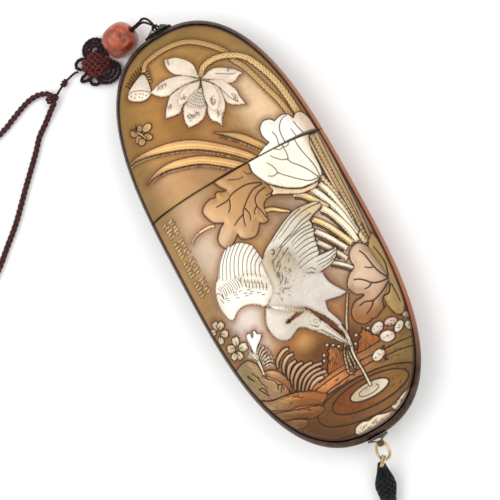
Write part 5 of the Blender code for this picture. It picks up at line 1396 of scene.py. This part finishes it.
def tail_knot():
    """The thin tail on from the knot, tied once and looped round the strap."""
    start = KNOT_PLACE + Vector((-6.4, 1.2, -0.9))
    tie = KNOT_PLACE + Vector((-12.0, 0.2, -0.6))
    way = Vector((0.92, 0.4, 0.0)).normalized()
    tail = [start, start + Vector((-1.6, 0.3, -0.2)), tie, WRAP_PLACE + Vector((WRAP_RADIUS, 0.2, 0.1))]
    threads = plied(smooth_path(tail, 8), THIN_CORD, 2, 1.7)
    for i, lean in enumerate((-0.35, 0.1, 0.5)):
        turn = Vector((way.x + lean * 0.4, way.y - lean, lean * 0.5))
        ring = resample(ring_round(tie + way * (i - 1) * 0.72, 0.78 - 0.12 * abs(i - 1), turn), 0.3, True)
        threads += plied(ring, 0.42, 2, 1.6, step=0.25, closed=True)
    for side in (-0.42, 0.42):
        ring = ring_round(WRAP_PLACE + Vector((0, side, 0)), WRAP_RADIUS - 0.1, (0.1 * side, 1, 0))
        threads += plied(ring, 0.45, 2, 1.6, step=0.25, closed=True)
    return thread_object("tail_knot", threads)


def bead():
    """The bead: a hand-cut ball, a little square, bored for the cord."""
    way = (JOIN_PLACE - BEAD_PLACE).normalized()
    first = way.orthogonal().normalized()
    bore = 1.25
    mouth = asin((bore + 0.45) / BEAD_RADIUS)
    sides = 72
    a = np.arange(sides) * 2 * pi / sides

    def circle(radius, z):
        return np.stack([radius * np.cos(a), radius * np.sin(a), np.full(sides, z)], 1)

    rings = []
    for angle in np.linspace(mouth, pi - mouth, 48):
        x = sin(angle) * np.cos(a + 0.5)
        y = sin(angle) * np.sin(a + 0.5)
        z = cos(angle)
        square = (np.abs(x) ** 2.5 + np.abs(y) ** 2.5 + abs(z) ** 2.5) ** (-1 / 2.5)
        dents = 0.0175 * np.sin(5 * x + 2) * np.sin(4 * y + 3 * z)
        rings.append(circle(sin(angle), z) * (BEAD_RADIUS * (0.955 * square + dents))[:, None])
    top = rings[0][0, 2]
    low = rings[-1][0, 2]
    for radius, depth in ((bore + 0.12, 0.12), (bore, 0.4), (bore, 3.0)):
        rings = [circle(radius, top - depth), *rings, circle(radius, low + depth)]
    vertices = np.concatenate(rings) @ np.array([first, way.cross(first), way]) + np.array(BEAD_PLACE)
    faces = grid_faces(len(rings), sides, True, wrap=True)
    last = (len(rings) - 1) * sides
    faces += [(i, j, last + j, last + i) for i, j in ring_pairs(sides)]
    return mesh_object("bead_stone", vertices, faces)


# Fittings


def outline_y(x):
    """The case's outline at x, towards the lid's end."""
    return HALF_LENGTH * (1 - abs(x / HALF_WIDTH) ** WIDTH_POWER) ** (1 / LENGTH_POWER)


def cast_piece(name, outline, half_thickness, hole=None, spacing=0.15):
    """A small cast piece from its plan, with rounded edges. Half_thickness gives the height at points."""
    edge = resample(outline, spacing, True)
    rim = edge
    edges = ring_pairs(len(edge))
    if hole:
        mouth = oval(hole[0], hole[1], hole[2], hole[2], 0, 28)
        rim = np.concatenate([edge, mouth])
        edges += ring_pairs(len(mouth), len(edge))

    def from_hole(x, y):
        return np.hypot(x - hole[0], y - hole[1]) - hole[2] if hole else np.full_like(x, FAR)

    ways = [np.arange(low, high, spacing) for low, high in zip(edge.min(0), edge.max(0))]
    gx, gy = [grid.ravel() for grid in np.meshgrid(*ways)]
    gap, _, _, _, _, inside = nearest_on(gx, gy, edge, True)
    keep = inside & (gap > 0.6 * spacing) & (from_hole(gx, gy) > 0.6 * spacing)
    flat = [Vector(p) for p in rim] + [Vector(p) for p in zip(gx[keep], gy[keep])]
    points, _, faces, _, _, _ = delaunay_2d_cdt(flat, edges, [], 1, 0.0001)
    plan = np.array([tuple(p) for p in points])
    faces = [face for face in faces if from_hole(*plan[list(face)].mean(0)) > 0]
    gap = nearest_on(plan[:, 0], plan[:, 1], edge, True)[0]
    gap = np.minimum(gap, np.abs(from_hole(plan[:, 0], plan[:, 1])))
    rounding = 1 - 0.5 * (1 - np.clip(gap / 0.55, 0, 1)) ** 2
    half = (half_thickness(plan[:, 0], plan[:, 1]) * rounding)[:, None]
    top = np.concatenate([plan, MID_HEIGHT + half], 1)
    under = np.concatenate([plan, MID_HEIGHT - half], 1)
    count = len(plan)
    all_faces = [tuple(face) for face in faces] + [tuple(i + count for i in reversed(face)) for face in faces]
    for a, b in edges:
        side = (a, a + count, b + count, b)
        all_faces.append(side if a < len(edge) else side[::-1])
    piece = mesh_object(name, np.concatenate([top, under]), all_faces)
    face_outwards(piece)
    piece.data.set_sharp_from_angle(angle=radians(55))
    return piece


def cord_lug():
    """The flared ear at the lid's end, with ribs on its right half."""
    hole_y = LUG_HOLE_PLACE.y
    half = 4.6
    outline = [(x, outline_y(x) + FITTING_GAP) for x in np.linspace(half, -half, 13)]
    outline.append((-half, outline_y(half) + JOINT_GAP + 0.3))
    outline += [(-half * 0.8, hole_y - 1.15), (-half * 0.5, hole_y - 0.35)]
    for i in range(9):
        a = radians(165 - 20 * i)
        outline.append((1.3 * cos(a), hole_y + 1.3 * sin(a)))
    outline += [(half * 0.42, hole_y + 0.35), (half * 0.62, hole_y - 0.2), (half * 0.85, hole_y - 0.9)]
    outline.append((half, outline_y(half) + JOINT_GAP + 0.3))

    def height(x, y):
        ribs = smooth_step((x - 0.9) / 0.5) * (0.5 + 0.5 * np.cos(2 * pi * (x - 0.25 * y) / 0.92))
        fall = 0.25 * np.clip(np.abs(x) - 3.0, 0, 2)
        return 1.16 + 0.2 * ribs - fall

    return cast_piece("cord_lug", outline, height, hole=(0.0, hole_y, 0.7))


def ring_boss():
    """The tapered boss at the body's end, drawn in to a neck that the ring goes through."""
    base_y = -HALF_LENGTH - JOINT_GAP
    half = 3.2
    outline = [(x, -outline_y(x) - FITTING_GAP) for x in np.linspace(half, -half, 9)]
    outline += [(-half, -outline_y(half) - JOINT_GAP - 0.5), (-2.5, base_y - 0.55), (-1.5, base_y - 0.85),
                (-1.0, base_y - 1.3), (-0.95, base_y - 2.4), (-0.6, base_y - 2.85), (0.6, base_y - 2.85),
                (0.95, base_y - 2.4), (1.0, base_y - 1.3), (1.5, base_y - 0.85), (2.5, base_y - 0.55),
                (half, -outline_y(half) - JOINT_GAP - 0.5)]

    def height(x, y):
        collar = 0.16 * np.exp(-((y - (base_y - 1.1)) / 0.22) ** 2)
        return 1.42 - 0.16 * smooth_step((base_y - y) / 2.4) + collar - 0.1 * np.clip(np.abs(x) - 2.0, 0, 2)

    return cast_piece("ring_boss", outline[::-1], height)


RING_HALF_LENGTH = 3.3
RING_HALF_WIDTH = 2.1
RING_HOLD = Vector((0, -71.75, MID_HEIGHT))


def ring_frame():
    """Where the wire ring hangs: its middle, its long way down and its way across."""
    lean = radians(14.5)
    drop = radians(33)
    down = Vector((-sin(lean) * cos(drop), -cos(lean) * cos(drop), -sin(drop)))
    across = down.cross(Vector((0, 0, 1))).normalized()
    return RING_HOLD + down * (RING_HALF_LENGTH - 0.2), down, across


def ring_point(turn):
    """A place on the wire's middle line. The ring is drawn in at its top."""
    middle, down, across = ring_frame()
    narrow = 0.87 + 0.13 * cos(turn)
    return middle + down * RING_HALF_LENGTH * cos(turn) + across * RING_HALF_WIDTH * narrow * sin(turn)


def wire_ring():
    """The brass wire ring, drawn in where it goes through the boss."""
    points = np.array([tuple(ring_point(2 * pi * i / 72)) for i in range(72)])
    return thread_object("wire_ring_bent", [thread_tube(points, 0.45, 14, True)])


# places down the tassel's middle, each with its radius there
TASSEL_FORM = [(0.0, 0.0, 0.0, 0.95), (-0.6, -1.5, -0.9, 1.5), (-1.3, -3.6, -1.8, 2.3),
               (-2.2, -6.0, -2.5, 3.0), (-3.0, -8.3, -3.0, 2.6), (-3.7, -10.4, -3.2, 2.15),
               (-5.5, -16.2, -3.3, 2.3), (-8.1, -23.3, -3.4, 2.4), (-10.7, -31.1, -3.4, 2.5),
               (-13.1, -39.2, -3.4, 2.6)]
TASSEL_TURN = radians(22)
TASSEL_HANG = Vector((-1.1, -0.7, -1.2))


def tassel_line():
    """The tassel's middle line and radii, from its top down."""
    top = ring_point(TASSEL_TURN) + TASSEL_HANG
    drop = min(top.z + z - r for _, _, z, r in TASSEL_FORM) - CORD_GAP
    points = [(top.x + x, top.y + y, top.z + z - drop * min(1.0, -y / 6.7)) for x, y, z, _ in TASSEL_FORM]
    radii = smooth_path([(r, 0, 0) for _, _, _, r in TASSEL_FORM], 10)[:, 0]
    return smooth_path(points, 10), radii


def tassel_silk():
    """The tassel's silk: strands from its top to the ends of the skirt, over a packed core."""
    line, radii = tassel_line()
    first, second = frames_along(line)
    rng = random.Random(11)
    threads = [thread_tube(line[:-6], radii[:-6] * 0.8, 24)]
    count = len(line)
    neck = 46
    for k in range(190):
        turn = 2 * pi * k / 190 * 7.0 + rng.uniform(-0.05, 0.05)
        depth = 0.84 + 0.06 * rng.random() + 0.08 * sin(9 * turn)
        sway = rng.uniform(-0.5, 0.5)
        swing = rng.uniform(0.5, 1.6)
        end = count - int(rng.random() ** 2 * 9)
        rows = np.arange(0, end)
        skirt = np.clip((rows - neck) / (count - neck), 0, 1)
        a = turn + sway * 0.25 * np.sin(rows * 0.1 * swing) + 0.55 * skirt * sway
        reach = radii[rows] * np.minimum(depth * (1 + 0.05 * np.sin(rows * 0.23 + k)), 1.0)
        points = line[rows] + around(first[rows], second[rows], a) * reach[:, None]
        thickness = 0.17 * np.clip(radii[rows] / 1.6, 0.55, 1.0)
        threads.append(thread_tube(points, thickness, 4))
    return thread_object("tassel_silk", threads)


def tassel_net():
    """The netted threads over the tassel's bulge, and the turns wound round its neck."""
    line, radii = tassel_line()
    first, second = frames_along(line)
    rows = np.arange(19, 50)
    threads = []
    for way in (-1, 1):
        for k in range(9):
            a = 2 * pi * k / 9 + way * (rows - rows[0]) * 0.098
            reach = (radii[rows] * 1.01 + 0.06)[:, None]
            threads.append(thread_tube(line[rows] + around(first[rows], second[rows], a) * reach, 0.13, 5))
    for start, turns, thread in ((48, 9, 0.2), (1, 3, 0.15)):
        steps = np.linspace(0, 1, turns * 20)
        place = start + steps * turns * (0.9 if start > 9 else 1.6)
        a = 2 * pi * turns * steps
        at = [np.array([np.interp(place, np.arange(len(line)), grid[:, k]) for k in range(3)]).T
              for grid in (line, first, second)]
        reach = np.interp(place, np.arange(len(line)), radii)[:, None] + 0.08
        threads.append(thread_tube(at[0] + around(at[1], at[2], a) * reach, thread, 5))
    return thread_object("tassel_net", threads)


def tassel_loop():
    """The gilt thread that ties the tassel to the ring."""
    _, down, across = ring_frame()
    wire_way = across * RING_HALF_WIDTH * cos(TASSEL_TURN) - down * RING_HALF_LENGTH * sin(TASSEL_TURN)
    wire_way.normalize()
    long_way = TASSEL_HANG.normalized()
    wide_way = wire_way.cross(long_way).normalized()
    past_wire = 1.35
    half_long = TASSEL_HANG.length / 2 + past_wire
    centre = ring_point(TASSEL_TURN) + long_way * (half_long - past_wire)
    threads = []
    for side in (-0.28, 0.28):
        points = []
        for i in range(40):
            a = 2 * pi * i / 40
            spread = wire_way * side * (1 - 0.6 * cos(a))
            points.append(tuple(centre + long_way * half_long * cos(a) + wide_way * 1.2 * sin(a) + spread))
        threads += plied(points, 0.3, 2, 1.2, step=0.2, closed=True)
    return thread_object("tassel_loop", threads)


# Materials


def add_node(tree, kind, settings=(), feeds=()):
    """Adds one node. Settings are its own fields, and feeds are what goes into its sockets."""
    node = tree.nodes.new("ShaderNode" + kind)
    for field, value in dict(settings).items():
        setattr(node, field, value)
    for socket, value in dict(feeds).items():
        if isinstance(value, bpy.types.NodeSocket):
            tree.links.new(value, node.inputs[socket])
        else:
            node.inputs[socket].default_value = value
    return node


def new_material(name):
    """A material with only its shader and output, and the object's own coordinates for patterns."""
    finish = bpy.data.materials.new(name)
    finish.use_nodes = True
    tree = finish.node_tree
    tree.nodes.clear()
    shader = add_node(tree, "BsdfPrincipled")
    add_node(tree, "OutputMaterial", feeds={"Surface": shader.outputs["BSDF"]})
    place = add_node(tree, "TexCoord").outputs["Object"]
    return finish, tree, shader, place


def mottled(name, size, dark, light, rough, relief, metallic=0.0):
    """Two tones in patches about size millimetres across. Gloss and relief follow the patches."""
    finish, tree, shader, place = new_material(name)
    noise = {"Vector": place, "Scale": 1 / (size * MM), "Detail": 4.0, "Roughness": 0.65}
    patches = add_node(tree, "TexNoise", feeds=noise).outputs["Fac"]
    spread = {"Value": patches, "From Min": 0.34, "From Max": 0.66}
    share = add_node(tree, "MapRange", feeds=spread).outputs["Result"]
    tone = add_node(tree, "Mix", {"data_type": "RGBA"}, {0: share, 6: linear(dark), 7: linear(light)})
    tree.links.new(tone.outputs[2], shader.inputs["Base Color"])
    gloss = add_node(tree, "MapRange", feeds={**spread, "To Min": rough[0], "To Max": rough[1]})
    tree.links.new(gloss.outputs["Result"], shader.inputs["Roughness"])
    bump = add_node(tree, "Bump", feeds={"Height": patches, "Strength": 0.4, "Distance": relief * MM})
    tree.links.new(bump.outputs["Normal"], shader.inputs["Normal"])
    shader.inputs["Metallic"].default_value = metallic
    return finish, tree, shader, place, tone.outputs[2]


def chased_brass():
    """Brass chased with a punch and inlaid with silver, gilt and copper: satin ground, brighter figures,
    old polish and grime dark in the engraved lines, and grime and painted shade beside the figures."""
    finish, tree, shader, place = new_material("brass_chased_and_inlaid_with_silver_and_copper")
    fields = {}
    for name in ("metal", "ink", "near", "shine"):
        node = add_node(tree, "Attribute", {"attribute_name": name})
        fields[name] = node.outputs["Color" if name == "metal" else "Fac"]
    colour = fields["metal"]
    # hands wear the metal in patches some 7 mm across. Its own grain is finer than 0.8 mm, and is drawn at
    # that size so that it shows
    for size, low, high in ((7.0, 0.88, 1.06), (0.8, 0.9, 1.07)):
        noise = {"Vector": place, "Scale": 1 / (size * MM), "Detail": 3.0, "Roughness": 0.65}
        specks = add_node(tree, "TexNoise", feeds=noise).outputs["Fac"]
        spread = {"Value": specks, "From Min": 0.3, "From Max": 0.7, "To Min": low, "To Max": high}
        share = add_node(tree, "MapRange", feeds=spread).outputs["Result"]
        blend = {"data_type": "RGBA", "blend_type": "MULTIPLY"}
        colour = add_node(tree, "Mix", blend, {0: 1.0, 6: colour, 7: share}).outputs[2]
    # beside the figures a broad brown veil and a narrow dark one, of grime and painted shade, and the ink in
    # the lines: silver keeps less
    layers = [
        ("near", 0.0, DIRT_AND_SHADE_REACH, 0.62, 0.0, 0.3, "#7d4f33"),
        ("near", 0.0, 0.6, 0.55, 0.0, 0.3, "#40240f"),
        ("ink", -0.07, 0.07, 0.0, 0.96, 0.8, "#2e1a0c"),
    ]
    for field, start, end, at_start, at_end, on_bright, tone in layers:
        spread = {"Value": fields[field], "From Min": start, "From Max": end, "To Min": at_start,
            "To Max": at_end}
        dirt_and_painted_shade = add_node(tree, "MapRange", {"interpolation_type": "SMOOTHSTEP"}, spread).outputs["Result"]
        spread = {"Value": fields["shine"], "To Max": on_bright, "To Min": 1.0}
        kept = add_node(tree, "MapRange", feeds=spread).outputs["Result"]
        share = add_node(tree, "Math", {"operation": "MULTIPLY"}, {0: dirt_and_painted_shade, 1: kept}).outputs[0]
        colour = add_node(tree, "Mix", {"data_type": "RGBA"}, {0: share, 6: colour,
            7: linear(tone)}).outputs[2]
    tree.links.new(colour, shader.inputs["Base Color"])
    spread = {"Value": fields["shine"], "From Min": 0.2, "To Min": 1.0, "To Max": 0.35}
    plain = add_node(tree, "MapRange", feeds=spread).outputs["Result"]
    clean = add_node(tree, "Math", {"operation": "MULTIPLY_ADD"}, {0: share, 1: -0.6, 2: 1.0}).outputs[0]
    bare = add_node(tree, "Math", {"operation": "MULTIPLY"}, {0: plain, 1: clean}).outputs[0]
    tree.links.new(bare, shader.inputs["Metallic"])
    satin = {"Value": specks, "From Min": 0.3, "From Max": 0.7, "To Min": 0.36, "To Max": 0.48}
    satin = add_node(tree, "MapRange", feeds=satin).outputs["Result"]
    rough = add_node(tree, "Math", {"operation": "MULTIPLY_ADD"}, {0: share, 1: 0.25, 2: satin}).outputs[0]
    tree.links.new(rough, shader.inputs["Roughness"])
    bump = add_node(tree, "Bump", feeds={"Height": specks, "Strength": 0.2, "Distance": 0.05 * MM})
    tree.links.new(bump.outputs["Normal"], shader.inputs["Normal"])
    return finish


def patinated_copper():
    """Copper sheet raised by hammer and left to darken: near black, partly painted shade, with a warm
    painted lit patch on its right side.
    """
    # hammer marks 2.4 mm across
    finish, tree, shader, place, dark = mottled("copper_raised_and_patinated", 2.4, "#3a2c26", "#604a3f",
                                                (0.3, 0.46), 0.12, 1.0)
    # the warm patch on the case's right side is painted light, a lit side; the near black elsewhere is patina
    # and painted shade
    where = {"Vector": place, "Location": (0.034, -0.002, 0.011), "Scale": (0.03, 0.062, 0.05)}
    seat = add_node(tree, "Mapping", {"vector_type": "TEXTURE"}, where).outputs["Vector"]
    ball = add_node(tree, "TexGradient", {"gradient_type": "SPHERICAL"}, {"Vector": seat}).outputs["Fac"]
    rubbed_and_painted_light = add_node(tree, "MapRange", feeds={"Value": ball, "From Max": 0.4}).outputs["Result"]
    tone = add_node(tree, "Mix", {"data_type": "RGBA"}, {0: rubbed_and_painted_light, 6: dark, 7: linear("#a4684a")})
    tree.links.new(tone.outputs[2], shader.inputs["Base Color"])
    return finish


def cast_bronze(name, dark, light, rubbed_and_painted_light):
    """Cast bronze gone dull, lighter on its edges: rubbed where it is handled, and partly painted highlight.
    """
    # the sand's grain is finer than 0.9 mm, and is drawn at that size so that it shows
    finish, tree, shader, _, tone = mottled(name, 0.9, dark, light, (0.28, 0.5), 0.06, 1.0)
    # the lighter edges are rubbed metal and painted highlight
    facing = add_node(tree, "NewGeometry").outputs["Pointiness"]
    spread = {"Value": facing, "From Min": 0.54, "From Max": 0.64, "To Max": 0.8}
    edge = add_node(tree, "MapRange", feeds=spread).outputs["Result"]
    worn = add_node(tree, "Mix", {"data_type": "RGBA"}, {0: edge, 6: tone, 7: linear(rubbed_and_painted_light)}).outputs[2]
    tree.links.new(worn, shader.inputs["Base Color"])
    return finish


def drawn_brass():
    """Brass wire, drawn and worn smooth: bright, with brown left in its scratches."""
    # scratches finer than 1.2 mm, drawn at that size so that they show
    return mottled("brass_wire_drawn_and_worn", 1.2, "#a88450", "#ecd3a0", (0.34, 0.16), 0.02, 1.0)[0]


def tinned_brass():
    """The sleeve inside: brass tinned by wiping, grey and streaky."""
    # wiped streaks 3 mm across
    return mottled("brass_sleeve_tinned_by_wiping", 3.0, "#8f8672", "#b9b4a6", (0.28, 0.45), 0.02, 1.0)[0]


def jasper():
    """Red jasper, tumbled and oiled by hands: brick brown with red clouds, pale veins and dark hollows."""
    # clouds 3.2 mm across, with veins a third as wide
    finish, tree, shader, place, red = mottled("red_jasper_cut_and_polished", 3.2, "#64200a", "#b84c1c",
                                               (0.34, 0.16), 0.5)
    noise = {"Vector": place, "Scale": 1 / (2.0 * MM), "Detail": 3.0, "Distortion": 1.2}
    veins = add_node(tree, "TexNoise", feeds=noise).outputs["Fac"]
    spread = {"Value": veins, "From Min": 0.58, "From Max": 0.7, "To Max": 0.3}
    share = add_node(tree, "MapRange", feeds=spread).outputs["Result"]
    pale = add_node(tree, "Mix", {"data_type": "RGBA"}, {0: share, 6: red, 7: linear("#e08a50")}).outputs[2]
    tree.links.new(pale, shader.inputs["Base Color"])
    shader.inputs["IOR"].default_value = 1.54
    shader.inputs["Coat Weight"].default_value = 0.15
    shader.inputs["Coat Roughness"].default_value = 0.1
    return finish


def silk(name, dark, light, gloss, shine=0.16):
    """Silk thread, twisted and darkened by handling: a soft gloss along each thread, and fine fibre."""
    # fibres are 0.02 mm across, and are drawn at 0.6 mm so that they show
    finish, _, shader, _, _ = mottled(name, 0.6, dark, light, (gloss, gloss + 0.2), 0.06)
    shader.inputs["IOR"].default_value = 1.5
    shader.inputs["Specular IOR Level"].default_value = shine
    return finish


def white_card():
    """The table: smooth matt white card."""
    # tooth 0.6 mm across
    return mottled("white_card_matt", 0.6, "#f5f5f4", "#f8f8f8", (0.85, 0.9), 0.0)[0]


# Put together


def dress(piece, finish, nodes):
    """Gives a piece its finish, ties it to the frame and hides the parts that it stands for."""
    piece.data.materials.append(finish)
    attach(piece, "root")
    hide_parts(*nodes)
    return piece


def softbox(name, direction, distance, size, brightness):
    """A square studio light that faces the case. Brightness is what a mirror would show of it."""
    light = bpy.data.lights.new(name, "AREA")
    light.shape = "SQUARE"
    light.size = size
    light.energy = brightness * pi * size * size
    lamp = bpy.data.objects.new(name, light)
    way = Vector(direction).normalized()
    lamp.location = way * distance
    lamp.rotation_euler = way.to_track_quat("Z", "Y").to_euler()
    bpy.context.scene.collection.objects.link(lamp)


def studio():
    """A white table in an even pale room, with soft lights above."""
    table = mesh_object("table", [(-1500, -1500, 0), (1500, -1500, 0), (1500, 1500, 0), (-1500, 1500, 0)],
                        [(0, 1, 2, 3)], smooth=False)
    table.data.materials.append(white_card())
    room = bpy.data.worlds.new("room")
    room.use_nodes = True
    room.node_tree.nodes["Background"].inputs["Color"].default_value = linear("#ffffff")
    room.node_tree.nodes["Background"].inputs["Strength"].default_value = 0.85
    bpy.context.scene.world = room
    softbox("light_left", (-0.53, 0.19, 0.83), 1.4, 1.1, 2.0)
    softbox("light_right", (0.62, 0.12, 0.78), 1.4, 0.9, 1.4)
    softbox("light_low", (0.1, -0.75, 0.66), 1.4, 0.9, 1.0)
    bpy.context.scene.view_settings.view_transform = "Standard"


camera()

dark_cord = silk("silk_cord_twisted_dark", "#120a0c", "#3a2426", 0.4)
red_cord = silk("silk_cord_twisted_red", "#2a0f10", "#743833", 0.42)
strap_silk = silk("silk_braid_dark_red", "#120607", "#5c3232", 0.42)
black_silk = silk("silk_floss_black", "#010101", "#1c1c21", 0.24, 0.14)
# the net's grey specks are partly wear and partly painted glints
net_silk = silk("silk_net_black_worn_and_painted_glints", "#040405", "#3a3a40", 0.24, 0.2)
gilt_thread = silk("silk_thread_gilt", "#9a7c50", "#e8d2a8", 0.4)

strap_piece = dress(strap(), strap_silk, ["strap_cord"])
hanger_piece = dress(hanger(), dark_cord, ["hanger_cord"])
pad_piece = dress(knot_pad(), red_cord, ["decorative_knot"])
loops_piece = dress(knot_loops(), dark_cord, ["decorative_knot"])
tail_piece = dress(tail_knot(), strap_silk, ["small_knot"])
bead_piece = dress(bead(), jasper(), ["bead"])

front = chased_brass()
lid_figures = lid_picture()
body_figures = body_picture()
lid_front = front_plate("lid_front", lid_figures, LID_GROUND_AND_PAINTED_SHEEN, True, 0.2, 285)
dress(lid_front, front, ["lid_front_plate"])
body_front = front_plate("body_front", body_figures, BODY_GROUND_AND_PAINTED_SHEEN, False, 0.225, 250)
dress(body_front, front, ["body_front_plate"])

side = patinated_copper()
dress(back_shell("lid_back", True), side, ["lid_back_shell"])
dress(back_shell("body_back", False), side, ["body_back_shell"])

dress(cord_lug(), cast_bronze("bronze_lug_cast_and_darkened", "#3a3f38", "#59584b", "#9c9280"), ["top_lug"])
dress(ring_boss(), cast_bronze("bronze_boss_cast_and_rubbed", "#3c2f26", "#6e5d4c", "#cfc6b6"),
      ["bottom_boss"])
dress(wire_ring(), drawn_brass(), ["wire_ring"])
dress(tassel_silk(), black_silk, ["tassel"])
dress(tassel_net(), net_silk, ["tassel"])
dress(tassel_loop(), gilt_thread, ["tassel"])

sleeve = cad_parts["inner_sleeve"]
tinned = tinned_brass()
for material_slot in sleeve.material_slots:
    material_slot.material = tinned

studio()
